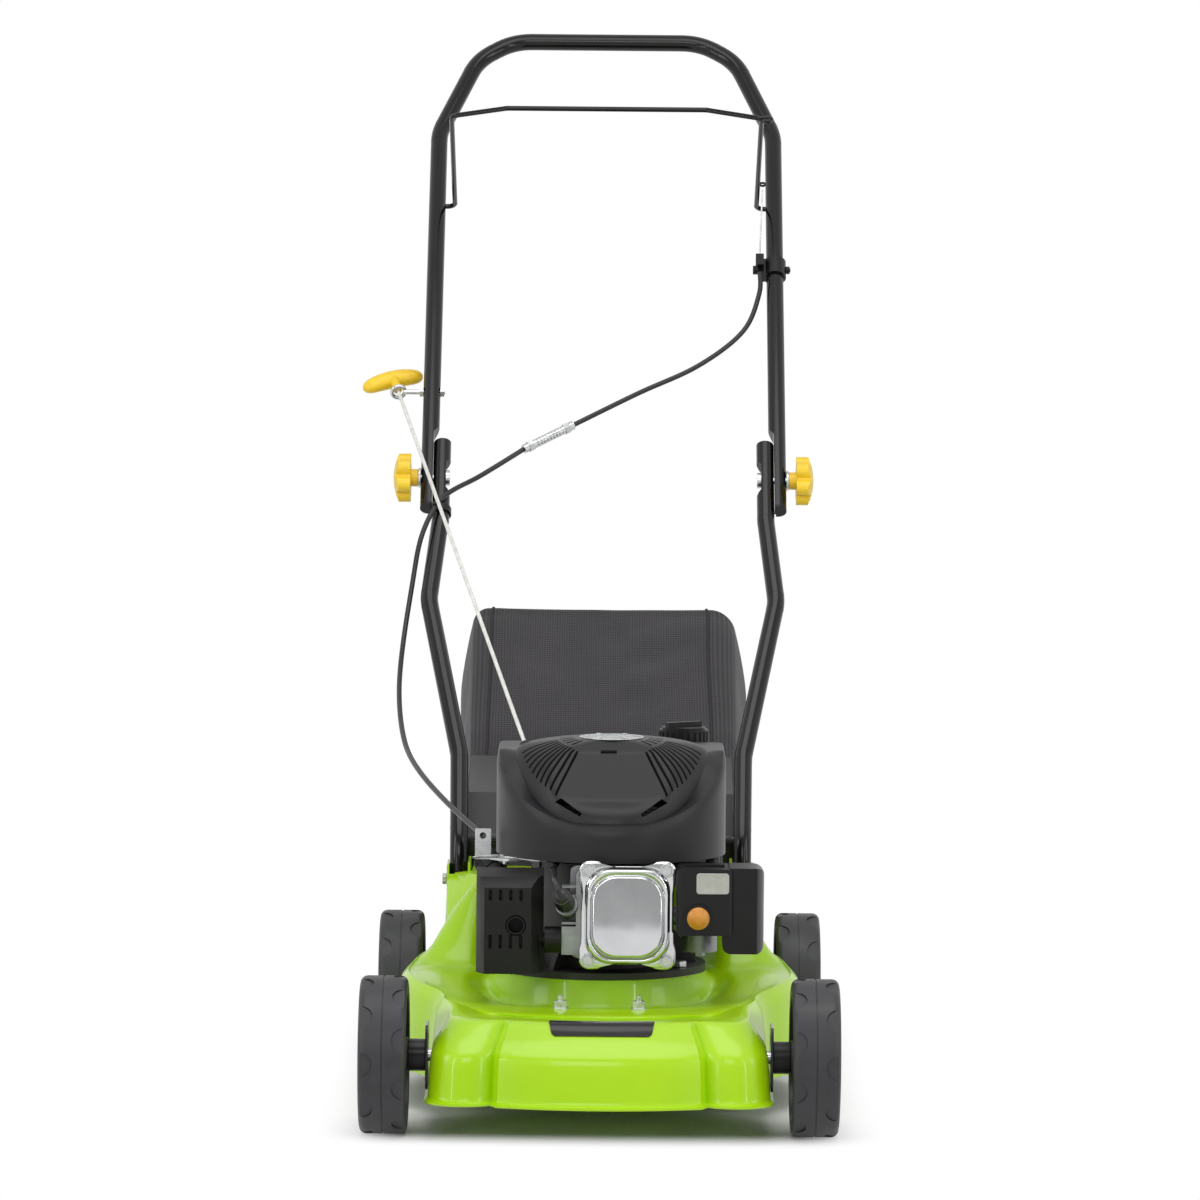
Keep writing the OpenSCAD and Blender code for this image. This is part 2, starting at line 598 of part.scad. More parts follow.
shaft_r = crank_d / 2;
top_shaft_r = 9.5;
case_top = engine_z + 112;
cylinder_x = 14;
cylinder_z = engine_z + 69.5;
case_front = -72;            // face the cylinder is bolted to
head_y0 = -112;
head_y1 = -132;
engine_bolt_r = 4;
engine_bolts = [for (a = [90, 210, 330]) 92 * [cos(a), sin(a)]];
shroud_x = 10;
shroud_z = case_top + 6;
post_at = [[shroud_x - 106, 40], [shroud_x + 106, 40], [shroud_x + 102, -28]];
dip_from = [-58, 34, engine_z + 30];
dip_dir = unit([-50, 28, 62]);

module crankcase() color("silver") difference() {
    union() {
        rod_z(engine_z, engine_z + 8, flange_r);
        rod_z(engine_z - 6, engine_z + 1, well_r - 6);
        rod_z(engine_z + 7, case_top, crankcase_r);
        block([cylinder_x - 45, case_front, engine_z + 22], [cylinder_x + 45, 0, case_top - 2]);
        for (a = [-30:30:240]) rotate(a) translate([0, 2.5, 0]) rotate([90, 0, 0]) linear_extrude(5)
            polygon([[crankcase_r - 4, engine_z + 6], [flange_r - 8, engine_z + 6], [flange_r - 12, engine_z + 14],
                [crankcase_r + 5, engine_z + 40], [crankcase_r - 4, engine_z + 44]]);
        for (p = post_at) {
            rod_z(case_top - 10, shroud_z - seat_gap, 7, p.x, p.y);
            a = atan2(p.y, p.x);
            rotate(a) block([crankcase_r - 8, -6, case_top - 12], [norm(p), 6, case_top - 2]);
        }
        rotate(atan2(-28, -58)) block([crankcase_r - 15, -7, case_top - 16], [64.4 + 7, 7, case_top - 0.1]);
        along(dip_from, dip_dir) cylinder(r = 11, h = 88);
        along(dip_from, dip_dir) translate([0, 0, 80]) cylinder(r = 13, h = 8);
    }
    rod_z(engine_z - 10, case_top + 1, shaft_r + fit_gap);
    for (p = engine_bolts) {
        rod_z(engine_z - 1, engine_z + 9, engine_bolt_r + fit_gap, p.x, p.y);
        rod_z(engine_z + 8, engine_z + 50, 10, p.x, p.y);
    }
    along(dip_from, dip_dir) translate([0, 0, 4]) cylinder(r = 8, h = 90);
    rod_z(case_top - 14, case_top + 1, 3 + fit_gap, -58, -28);
    rod_z(case_top - 5, case_top + 1, 3.5, brake_pivot.x, brake_pivot.y);
}

// Finned cylinder and head
module fin_plate(y, w, h) front_plate(y, y + 2, cylinder_x, cylinder_z) round_rect(w, h, 9);
module cylinder_core(y0, y1) front_plate(y0, y1, cylinder_x, cylinder_z) round_rect(70, 76, 16);
module cylinder_block() color("silver") difference() {
    union() {
        cylinder_core(head_y0 + seat_gap, case_front - 0.1);
        for (i = [0:6]) fin_plate(case_front - 6 - i * 5.2, 88, 92);
    }
    rod_y(-90, case_front + 1, 26, cylinder_x, cylinder_z);
}
plug_at = [cylinder_x - 47.5, head_y1 - 3.6, cylinder_z + 10];
plug_dir = unit([-0.14, -0.95, 0.34]);
port_z = cylinder_z - 26;
module cylinder_head() color("silver") difference() {
    union() {
        front_plate(head_y1, head_y0, cylinder_x, cylinder_z) round_rect(76, 92, 9);
        for (i = [-3:3]) block([cylinder_x - 52, head_y1 + 3, cylinder_z + i * 9 - 1.2],
            [cylinder_x + 50, head_y0 - 1, cylinder_z + i * 9 + 1.2]);
        along(plug_at - 14 * plug_dir, plug_dir) cylinder(r = 10.8, h = 14);
        block([cylinder_x - 52, head_y1 + 1, port_z - 14], [cylinder_x - 30, head_y0 - 1, port_z + 14]);
    }
    along(plug_at - 16 * plug_dir, plug_dir) cylinder(r = 5.05, h = 40);
    rod_x(cylinder_x - 53, cylinder_x - 38, 7.3, (head_y0 + head_y1) / 2, port_z);
}
cover_x = 26.5;
cover_y = head_y1 - seat_gap;
module valve_cover() color("silver") {
    difference() {
        union() {
            front_plate(cover_y - 6, cover_y, cover_x, cylinder_z) difference() {
                round_rect(cover_w, cover_h, 9);
                for (x = [-1, 1]) translate([x * (cover_w / 2 + 7), 0]) circle(20);
                for (z = [-1, 1]) translate([0, z * (cover_h / 2 + 25)]) circle(28);
            }
            front_plate(cover_y - 17, cover_y - 5, cover_x, cylinder_z) round_rect(cover_w - 17, cover_h - 19, 26);
            front_plate(cover_y - 19, cover_y - 16, cover_x, cylinder_z) difference() {
                round_rect(cover_w - 24, cover_h - 28, 27);
                round_rect(cover_w - 30, cover_h - 34, 24);
            }
        }
        for (x = [-1, 1], z = [-1, 1]) rod_y(cover_y - 30, cover_y - 6, 9,
            cover_x + x * (cover_w / 2 - 9), cylinder_z + z * (cover_h / 2 - 9));
    }
    for (x = [-1, 1], z = [-1, 1]) translate([cover_x + x * (cover_w / 2 - 9), cover_y - 6,
        cylinder_z + z * (cover_h / 2 - 9)]) rotate([90, 0, 0]) {
        cylinder(r = 7.5, h = 1.5);
        translate([0, 0, 1]) cylinder(r = 10 / sqrt(3), h = 5, $fn = 6);
    }
}
module spark_plug() along(plug_at, plug_dir) {
    color("silver") translate([0, 0, -14]) cylinder(r = 5, h = 15);
    color("silver") translate([0, 0, 0.3]) cylinder(r = 16 / sqrt(3), h = 8, $fn = 6);
    color("white") translate([0, 0, 8.2]) cylinder(r = 5.2, h = 14);
    color("silver") translate([0, 0, 22]) cylinder(r = 3, h = 6);
}
boot_top = plug_at + 38 * plug_dir;
module ignition_lead() {
    color("black") along(plug_at, plug_dir) difference() {
        union() {
            translate([0, 0, 9]) cylinder(r1 = 10, r2 = 8.5, h = 27);
            translate([0, 0, 31]) sphere(9);
        }
        translate([0, 0, 8]) cylinder(r = 5.6, h = 22);
    }
    color("black") cord([boot_top - [0, 0, 1], boot_top + [-6, 6, 13], [-46, -118, 238], [-46, -96, 240.5],
        [-36, -86, 250], [-12.5, -88, 257]], 3, 5);
    color("dimgray") difference() {
        block([-12, -105, case_top + 5], [28, -flywheel_r - 2.5, case_top + 30]);
        block([2, -110, case_top + 4], [14, -flywheel_r - 8, case_top + 12]);
    }
}

muffler_x = -89;
module muffler() color("black") difference() {
    union() {
        intersection() {
            translate([muffler_x, -122, engine_z + 16]) linear_extrude(86) round_rect(60, 36, 9);
            front_plate(-141, -103, muffler_x, engine_z + 59) round_rect(60, 86, 14);
        }
        rod_x(muffler_x + 29, cylinder_x - 38.3, 7, (head_y0 + head_y1) / 2, port_z);
        rod_x(muffler_x + 34, cylinder_x - 52.3, 13, (head_y0 + head_y1) / 2, port_z);
        rod_y(-148, -139, 9, muffler_x + 6, engine_z + 60);
    }
    rod_y(-150, -130, 7.5, muffler_x + 6, engine_z + 60);
}
guard_profile = [[-33, 0], [-33, -30], [-25, -45], [21, -45], [33, -30], [33, 0]];
module muffler_guard() color("black") difference() {
    intersection() {
        translate([muffler_x, -103, engine_z + 12]) linear_extrude(110) polygon(guard_profile);
        translate([muffler_x - 40, 0, 0]) rotate([90, 0, 90]) linear_extrude(80) polygon([[-149, engine_z + 12],
            [-149, engine_z + 96], [-139, engine_z + 107], [-100, engine_z + 113], [-100, engine_z + 12]]);
    }
    intersection() {
        translate([muffler_x, -103, engine_z + 10]) linear_extrude(110)
            polygon([for (p = guard_profile) [p.x - sign(p.x) * 1.3, p.y < -40 ? p.y + 1.3 : p.y < 0 ? p.y : 1]]);
        translate([muffler_x - 40, 0, 0]) rotate([90, 0, 90]) linear_extrude(80) polygon([[-149, engine_z + 11],
            [-149, engine_z + 95], [-139, engine_z + 105.5], [-98, engine_z + 111.5], [-98, engine_z + 11]]);
    }
    for (row = [0, 1], i = [0:3]) front_plate(-150, -144, muffler_x - 19 + i * 10, engine_z + 44 + row * 46)
        round_rect(3.4, row == 1 ? 11 : 14, 1.6);
    rod_y(-150, -144, 10.2, muffler_x + 6, engine_z + 60);
    rod_x(muffler_x + 28, muffler_x + 40, 14, (head_y0 + head_y1) / 2, port_z);
}

// Air filter box with the primer, carburettor behind it
box_x0 = 74.6;
box_x1 = 130;
box_x2 = 161;
box_y0 = -150;
box_y1 = -90;
box_z0 = engine_z + 51.5;
box_z1 = engine_z + 117;
primer_at = [96, engine_z + 69];
primer_r = primer_d / 2;
primer_travel = 5;
module air_filter_box() color("black") difference() {
    union() {
        intersection() {
            front_plate(box_y0, box_y1, (box_x0 + box_x1) / 2, (box_z0 + box_z1) / 2)
                round_rect(box_x1 - box_x0, box_z1 - box_z0, 5);
            translate([(box_x0 + box_x1) / 2, (box_y0 + box_y1) / 2, box_z0 - 1])
                linear_extrude(70) round_rect(box_x1 - box_x0, box_y1 - box_y0, 5);
        }
        intersection() {
            front_plate(box_y0 + 6, box_y1, (box_x1 + box_x2) / 2 - 5, (box_z0 + box_z1) / 2 - 9)
                round_rect(box_x2 - box_x1 + 10, box_z1 - box_z0 + 19, 8);
            rod_z(box_z0 - 30, box_z1 + 5, 44, box_x2 - 44, (box_y0 + box_y1) / 2);
        }
        rod_y(box_y0 - 3, box_y0 + 1, primer_r + 2.6, primer_at.x, primer_at.y);
        block([box_x0 + 8, box_y0 + 24, box_z1 - 1], [box_x1 - 8, box_y0 + 27, box_z1 + 2.5]);
    }
    rod_y(box_y0 - 5, box_y0 + 14, primer_r + 0.1, primer_at.x, primer_at.y);
    rod_y(box_y1 - 12, box_y1 + 1, 9, 98, engine_z + 60);
}
module primer_bulb() color("orange") {
    rod_y(box_y0 - 4, box_y0 + 5, primer_r, primer_at.x, primer_at.y);
    intersection() {
        translate([primer_at.x, box_y0 + 3.5, primer_at.y]) sphere(14);
        rod_y(box_y0 - 20, box_y0, primer_r, primer_at.x, primer_at.y);
    }
}
carb_at = [98, -76, engine_z + 60];
module carburettor() color("silver") {
    rod_y(box_y1 - 8, -62, 8.9, carb_at.x, carb_at.z);
    block([carb_at.x - 14, box_y1 + seat_gap, carb_at.z - 14], [carb_at.x + 14, -64, carb_at.z + 12]);
    rod_z(carb_at.z - 32, carb_at.z - 13, 18, carb_at.x, carb_at.y + 1);
    hex_z(carb_at.z - 37, carb_at.z - 31, 11, carb_at.x, carb_at.y + 1);
    bent_bar([[carb_at.x, -68, carb_at.z], [carb_at.x, -54, carb_at.z], [cylinder_x + 50, -54, carb_at.z]], 12, 9);
    block([cylinder_x + 45 + seat_gap, -68, carb_at.z - 18], [cylinder_x + 51, -41, carb_at.z + 18]);
}

// Shroud: outline around the flywheel with a round front, straight sides and a flat rear
shroud_rear = 100;
shroud_t = 3;
shroud_half = concat([for (a = [-90:7.5:0]) shroud_r * [cos(a), sin(a)]], [[shroud_r, 45], [shroud_r, 88]],
    [for (a = [15:30:75]) [shroud_r - 12 + 12 * cos(a), shroud_rear - 12 + 12 * sin(a)]], [[95, shroud_rear],
    [60, shroud_rear], [30, shroud_rear], [0, shroud_rear]]);
shroud_outline = concat(shroud_half, [for (i = [len(shroud_half) - 2:-1:1]) [-shroud_half[i].x, shroud_half[i].y]]);
crease_r = 97;
cap_top = engine_z + 233;
function band_top(y) = min(engine_z + 212, engine_z + 143 + 0.6 * (y + 115));
function crease_z(y) = engine_z + 155 + 65 * smooth((y + crease_r) / crease_r);
// Ring of the shroud at distance `inset` inside the outline
function shroud_ring(inset, height) = [for (p = shroud_outline) let (r = norm(p), e = p / r)
    [shroud_x + e.x * (r - inset), e.y * (r - inset), height(p.y)]];
function crease_ring(r, drop) = [for (p = shroud_outline) let (e = unit(p))
    [shroud_x + e.x * r, e.y * r, crease_z(e.y * r) - drop]];
module shroud() color("dimgray") {
    difference() {
        loft([shroud_ring(0, function(y) shroud_z), shroud_ring(0, function(y) band_top(y)),
            shroud_ring(1.2, function(y) band_top(y) + 5), shroud_ring(2.5, function(y) band_top(y) + 8),
            crease_ring(crease_r, 0), crease_ring(crease_r - shroud_t, shroud_t + 1),
            shroud_ring(shroud_t + 1.5, function(y) band_top(y) + 4),
            shroud_ring(shroud_t, function(y) band_top(y)), shroud_ring(shroud_t, function(y) shroud_z)],
            closed = true);
        block([cylinder_x - 20, -shroud_r - 5, shroud_z - 1], [cylinder_x + 20, -shroud_r - 4, shroud_z]);
    }
    for (p = post_at) rod_z(shroud_z, shroud_z + 14, 7, p.x, p.y);
}

// Domed cover of the recoil starter with a flat front facet, louvres and a closed centre
post_r = 8;
pulley_z = engine_z + 187;
dome = [[0, 0], [3, 0.22], [9, 0.44], [20, 0.66], [38, 0.87], [56, 0.97], [66, 1]];
function facet(r, e) = r < 90 && r > 36 && e.y < -0.866 ? r * 0.866 / -e.y : r;
function dome_ring(inset, f, drop) = [for (p = shroud_outline)
    let (e = unit(p), r = facet(crease_r - inset, e), z = crease_z(e.y * crease_r))
    [shroud_x + e.x * (r - drop), e.y * (r - drop), mix(z, cap_top, f) + 0.2 - drop]];
outlet_at = [-76, 10, engine_z + 222];
module slot_cut(a, r0, r1, w) rotate(a) block([r0, -w / 2, -60], [r1, w / 2, 60]);
module recoil_cover() color("dimgray") {
    difference() {
        loft(concat([dome_ring(67, 1, 2.6)],
            [for (i = [5:-1:1]) dome_ring(dome[i].x, dome[i].y, 2.6)],
            [dome_ring(3, 0, 0)], [for (d = dome) dome_ring(d.x, d.y, 0)]));
        for (side = [-1, 1], i = [0:8]) translate([shroud_x, 0, cap_top - 20])
            slot_cut(-90 + side * (39 + i * 4.6), 58, 84, 2.6);
        for (side = [-1, 1], i = [-1:1]) translate([shroud_x, 0, cap_top])
            slot_cut(90 + side * 60 + i * 12, 42, 70, 4);
        along(outlet_at, rope_dir) translate([0, 0, -30]) cylinder(r = 4.5, h = 60);
    }
    translate([shroud_x, 0, 0]) {
        rod_z(pulley_z - 6, cap_top - 2, post_r - 0.1);
        rod_z(cap_top, cap_top + 1.6, 32.5);
        for (a = [0:60:300]) rotate(a) rod_z(cap_top + 1.5, cap_top + 2.4, 3, 26, 0);
    }
    along(outlet_at, rope_dir) difference() {
        translate([0, 0, -12]) cylinder(r = 7, h = 14);
        translate([0, 0, -13]) cylinder(r = rope_r + 0.6, h = 16);
    }
}
module recoil_pulley() color("black") difference() {
    translate([shroud_x, 0, pulley_z]) rotate_extrude()
        polygon([[post_r, -2], [16, -2], [16, 0], [35, 0], [35, 3], [28, 6], [28, 12], [35, 15], [35, 18],
            [13, 18], [post_r, 20]]);
    for (a = [30:120:270]) rod_z(pulley_z - 1, pulley_z + 19, 4, shroud_x + 22 * cos(a), 22 * sin(a));
}

// ---------- crankshaft group ----------

blade_z = engine_z - 76;
blade_t = 3.5;
fly_z = case_top + 12;
module crankshaft() color("silver") difference() {
    union() {
        rod_z(blade_z + blade_t, case_top + 5, shaft_r);
        rod_z(case_top + 4, fly_z + 44, top_shaft_r);
    }
    rod_z(blade_z + blade_t - 1, blade_z + blade_t + 30, 5 + fit_gap);
}
module flywheel() color("silver") difference() {
    union() {
        rod_z(fly_z, fly_z + 16, flywheel_r);
        rod_z(fly_z + 15, fly_z + 34, 20);
        for (a = [0:20:340]) rotate(a) block([40, -1.3, fly_z + 15], [flywheel_r - 3, 1.3, fly_z + 36]);
    }
    rod_z(fly_z - 1, fly_z + 40, top_shaft_r + fit_gap);
}
adapter_top = engine_z - 14;
module blade_adapter() color("dimgray") difference() {
    union() {
        rod_z(blade_z + blade_t, blade_z + blade_t + 5, 30);
        rod_z(blade_z + blade_t + 4, adapter_top, 17);
    }
    rod_z(blade_z, adapter_top + 1, shaft_r + fit_gap);
}
module blade() color("silver") difference() {
    union() {
        translate([0, 0, blade_z]) linear_extrude(blade_t) intersection() {
            square([blade_len, 52], center = true);
            circle(blade_len / 2);
        }
        for (a = [0, 180]) rotate(a) intersection() {
            translate([120, 0, 0]) rotate([90, 0, 90]) linear_extrude(80) polygon([[-26, blade_z],
                [-26, blade_z + blade_t], [-12, blade_z + blade_t], [2, blade_z + 18], [4, blade_z + 16], [-9, blade_z]]);
            rod_z(blade_z - 1, blade_z + 30, blade_len / 2);
        }
    }
    for (a = [0, 180]) rotate(a) translate([105, 0, 0]) rotate([90, 0, 90]) linear_extrude(100)
        polygon([[20, blade_z - 1], [28, blade_z + 2.8], [28, blade_z - 1]]);
    rod_z(blade_z - 1, blade_z + 5, 5 + fit_gap);
}
module blade_bolt() color("silver") {
    hex_z(blade_z - 11, blade_z - 3, 17);
    rod_z(blade_z - 3, blade_z, 19);
    rod_z(blade_z - 1, blade_z + blade_t + 24, 5);
}
module deck_bolts() color("silver") {
    for (p = deck_bolts_at) {
        rod_z(rim_z + 64, rim_z + 82, deck_bolt_r, p.x, p.y);
        rod_z(crest_front_z + 0.2, crest_front_z + 4, 7.5, p.x, p.y);
        hex_z(crest_front_z - 9.5, crest_front_z - 3.5, 10, p.x, p.y);
    }
    for (p = engine_bolts) {
        rod_z(engine_z - 12, engine_z + 9, engine_bolt_r, p.x, p.y);
        hex_z(engine_z + 8, engine_z + 14, 13, p.x, p.y);
        hex_z(engine_z - 9, engine_z - sheet - 0.2, 13, p.x, p.y);
    }
}
module dipstick() color("black") along(dip_from, dip_dir) {
    translate([0, 0, 20]) cylinder(r = 2, h = 62);
    translate([0, 0, 76]) cylinder(r = 7.9, h = 13);
    translate([0, 0, 88.3]) cylinder(r = 15, h = 7);
    intersection() {
        translate([-14, -3, 94]) cube([28, 6, 14]);
        translate([0, 0, 92]) sphere(16);
    }
}

// ---------- fuel tank ----------

tank_x0 = -98;
tank_x1 = 118;
tank_y0 = shroud_rear + seat_gap;
tank_y1 = 172;
tank_z0 = engine_z + 108;
tank_z1 = engine_z + 207;
cap_at = [84, 136];
module tank_body(inset) {
    w = tank_x1 - tank_x0 - 2 * inset;
    d = tank_y1 - tank_y0 - 2 * inset;
    h = tank_z1 - tank_z0 - 2 * inset;
    translate([(tank_x0 + tank_x1) / 2, (tank_y0 + tank_y1) / 2, (tank_z0 + tank_z1) / 2]) intersection() {
        translate([0, 0, -h / 2]) linear_extrude(h) round_rect(w, d, 20);
        translate([0, d / 2, 0]) rotate([90, 0, 0]) linear_extrude(d) round_rect(w, h, 18);
        translate([-w / 2, 0, 0]) rotate([90, 0, 90]) linear_extrude(w) round_rect(d, h, 14);
    }
}
module fuel_tank() color("black") difference() {
    union() {
        tank_body(0);
        rod_z(tank_z1 - 2, tank_z1 + 16, 20, cap_at.x, cap_at.y);
        block([tank_x0 + 30, tank_y0 + 6, tank_z1 - 3], [20, tank_y0 + 12, tank_z1 + 5]);
        rod_z(tank_z0 - 9, tank_z0 + 1, 6, tank_x0 + 30, (tank_y0 + tank_y1) / 2);
    }
    tank_body(2.5);
    rod_z(tank_z1 - 6, tank_z1 + 17, 17, cap_at.x, cap_at.y);
    rod_z(tank_z0 - 10, tank_z0 + 4, 3, tank_x0 + 30, (tank_y0 + tank_y1) / 2);
}
module fuel_cap() color("black") translate([cap_at.x, cap_at.y, 0]) difference() {
    union() {
        rod_z(tank_z1 + 3, tank_z1 + 24, cap_d / 2 - 1.5);
        rod_z(tank_z1 + 24, tank_z1 + 26, cap_d / 2 - 4);
        for (a = [0:15:345]) rotate(a) rod_z(tank_z1 + 3, tank_z1 + 22, 2, cap_d / 2 - 2, 0);
        rotate(35) block([-cap_d / 2 + 5, -3, tank_z1 + 25], [cap_d / 2 - 5, 3, tank_z1 + 31]);
    }
    difference() {
        rod_z(tank_z1 + 2, tank_z1 + 16 + seat_gap, 20 + fit_gap);
        rod_z(tank_z1 + 6, tank_z1 + 20, 16.9);
    }
}

// ---------- wheels and axles ----------

axle_r = axle_d / 2;
wheel_r = wheel_d / 2;
wheel_x0 = track_w / 2 - wheel_w;
dimple_count = 20;
module wheel(y, side) color("black") translate([side * wheel_x0, y, axle_z])
    mirror([side < 0 ? 1 : 0, 0, 0]) rotate([0, 90, 0]) difference() {
        union() {
            rotate_extrude() polygon(concat([[axle_r + fit_gap, 0], [17, 0], [17, 6], [22, 12], [54, 12], [59, 5],
                [60, 0.5]], arc(wheel_r - 7, 7, 7, -90, 0, 4), arc(wheel_r - 7, wheel_w - 7, 7, 0, 90, 4),
                [[60, wheel_w - 0.5], [59, wheel_w - 6], [54, 17], [22, 17], [18, 22], [18, wheel_w - 14],
                [axle_r + fit_gap, wheel_w - 14]]));
            for (a = [0:45:315]) rotate(a) block([16, -2, 16], [58, 2, wheel_w - 16]);
        }
        for (i = [0:dimple_count - 1]) rotate(i * 360 / dimple_count) {
            translate([wheel_r - 2, 0, i % 2 == 0 ? 2 : wheel_w - 2]) rotate([0, 90, 0]) cylinder(r = 12, h = 5);
        }
        translate([0, 0, wheel_w / 2 - 0.7]) difference() {
            cylinder(r = wheel_r + 1, h = 1.4);
            translate([0, 0, -1]) cylinder(r = wheel_r - 1, h = 4);
        }
    }
module wheel_front_left() wheel(front_axle_y, -1);
module wheel_front_right() wheel(front_axle_y, 1);
module wheel_rear_left() wheel(rear_axle_y, -1);
module wheel_rear_right() wheel(rear_axle_y, 1);

hub_end = wheel_x0 + wheel_w - 14;
module axle(y) color("silver") rod_x(-hub_end - 9, hub_end + 9, axle_r, y, axle_z);
module front_axle() axle(front_axle_y);
module rear_axle() axle(rear_axle_y);
bracket_x = deck_half_w + 0.7;
module axle_spacers() color("black") both_sides() for (y = [front_axle_y, rear_axle_y]) difference() {
    rod_x(bracket_x + bracket_t + 0.1, wheel_x0 - seat_gap, 15.5, y, axle_z);
    rod_x(0, far, axle_r + fit_gap, y, axle_z);
}
module axle_nuts() color("silver") both_sides() for (y = [front_axle_y, rear_axle_y]) difference() {
    union() {
        hex_x(hub_end + seat_gap, hub_end + 7, 19, y, axle_z);
        rod_x(hub_end + seat_gap, hub_end + 1.5, 12.5, y, axle_z);
    }
    rod_x(0, far, axle_r + fit_gap, y, axle_z);
}
// Plates with three holes, one for each cutting height
module height_brackets() color("black") both_sides() for (y = [front_axle_y, rear_axle_y]) difference() {
    translate([bracket_x, y, axle_z]) rotate([90, 0, 90]) linear_extrude(bracket_t)
        round_rect(50, 2 * height_step + 28, 8);
    for (i = [-1:1]) rod_x(bracket_x - 1, bracket_x + 5, axle_r + fit_gap, y, axle_z + i * height_step);
}

// Open sheet pockets that hold the feet of the handle
bracket_in = foot_x - tube_r - seat_gap;
bracket_out = foot_x + tube_r + seat_gap;
module handle_brackets() color("yellowgreen") both_sides() difference() {
    union() {
        block([pocket_x0 - 1.5, pocket_y0 + 0.3, pocket_floor],
            [bracket_out + bracket_t, foot_y + 66, pocket_floor + 2]);
        block([bracket_in - bracket_t, pocket_y0 + 0.3, pocket_floor + 1], [bracket_in, foot_y + 50, rim_z + 168]);
        block([bracket_out, pocket_y0 + 0.3, pocket_floor + 1], [bracket_out + bracket_t, foot_y + 36, rim_z + 166]);
        block([bracket_in - bracket_t, pocket_y0 + 0.3, pocket_floor + 1],
            [bracket_out + bracket_t, pocket_y0 + 2.3, rim_z + 156]);
    }
    rod_x(bracket_in - 5, bracket_out + 5, foot_bolt_r + fit_gap, foot_y, foot_bolt_z);
}

// ---------- rear flap and grass bag ----------

flap_t = 3;
flap_knee = [rear_reach + 27, hinge_z + 44];
flap_end = [rear_reach + 147, hinge_z + 72];
module flap_side(x0, x1, profile) translate([x0, 0, 0]) rotate([90, 0, 90]) linear_extrude(x1 - x0) polygon(profile);
module rear_flap() color("black") difference() {
    union() {
        rod_x(-flap_w / 2, flap_w / 2, rod_r + 3, hinge_y, hinge_z);
        flap_side(-flap_w / 2, flap_w / 2, [[hinge_y - 5, hinge_z + 2], flap_knee + [-2, flap_t], flap_end + [0, flap_t],
            flap_end, flap_knee, [hinge_y + 3, hinge_z]]);
        both_sides() flap_side(flap_w / 2 - 2.5, flap_w / 2, [[hinge_y, hinge_z], flap_knee + [0, flap_t / 2],
            flap_end + [0, flap_t / 2], flap_end + [-8, -14], flap_knee + [24, -14]]);
        for (x = [-90:45:90]) flap_side(x - 1.5, x + 1.5, [flap_knee + [-2, 1], flap_knee + [4, 6],
            flap_end + [-20, 6.5], flap_end + [-8, 1]]);
    }
    rod_x(-flap_w, flap_w, rod_r + fit_gap, hinge_y, hinge_z);
}
module flap_rod() color("silver") {
    rod_x(-flap_w / 2 - 8, flap_w / 2 + 8, rod_r, hinge_y, hinge_z);
}

// Bag section: width, lower and upper height, as a ring in a plane across the mower
function bag_ring(y, w, z0, z1, r) = [for (k = [0:3], a = [0:22.5:90])
    [(k == 0 || k == 3 ? -1 : 1) * (w / 2 - r) - r * cos(a + k * 90), y,
     (k < 2 ? z1 - r : z0 + r) + r * sin(a + k * 90)]];
bag_y0 = rear_reach + 15;
mouth_w = flap_w - 8;
function bag_rings(t) = [
    bag_ring(bag_y0, mouth_w - 2 * t, rim_z + 62 + t, hinge_z - 9 - t, 12),
    bag_ring(bag_y0 + 14, mouth_w + 6 - 2 * t, rim_z + 60 + t, hinge_z + 10 - t, 14),
    bag_ring(bag_y0 + 30, bag_w - 24 - 2 * t, rim_z + 58 + t, hinge_z + 20 - t, 20),
    bag_ring(bag_y0 + 130, bag_w - 8 - 2 * t, rim_z + 57 + t, hinge_z + 52 - t, 28),
    bag_ring(bag_y0 + 175, bag_w - 2 * t, rim_z + 57 + t, hinge_z + 100 - t, 34),
    bag_ring(bag_y0 + bag_len - 90, bag_w - 2 * t, rim_z + 59 + t, hinge_z + 165 - t, 40),
    bag_ring(bag_y0 + bag_len - 22, bag_w - 12 - 2 * t, rim_z + 66 + t, hinge_z + 214 - t, 42),
    bag_ring(bag_y0 + bag_len - 5 - t, bag_w - 34 - 2 * t, rim_z + 82 + t, hinge_z + 208 - t, 40),
    bag_ring(bag_y0 + bag_len - t, bag_w - 70 - 2 * t, rim_z + 102 + t, hinge_z + 186 - t, 30)];
module grass_bag() color("dimgray") {
    inner = bag_rings(3);
    outer = bag_rings(0);
    n = len(outer);
    loft(concat([for (i = [n - 1:-1:0]) inner[i]], outer));
}
module bag_frame() color("silver") {
    bent_bar([[0, bag_y0 - 3.4, rim_z + 64], [mouth_w / 2 - 4, bag_y0 - 3.4, rim_z + 64],
        [mouth_w / 2 - 4, bag_y0 - 3.4, hinge_z - 13], [-mouth_w / 2 + 4, bag_y0 - 3.4, hinge_z - 13],
        [-mouth_w / 2 + 4, bag_y0 - 3.4, rim_z + 64], [0, bag_y0 - 3.4, rim_z + 64]], 12, 3);
}

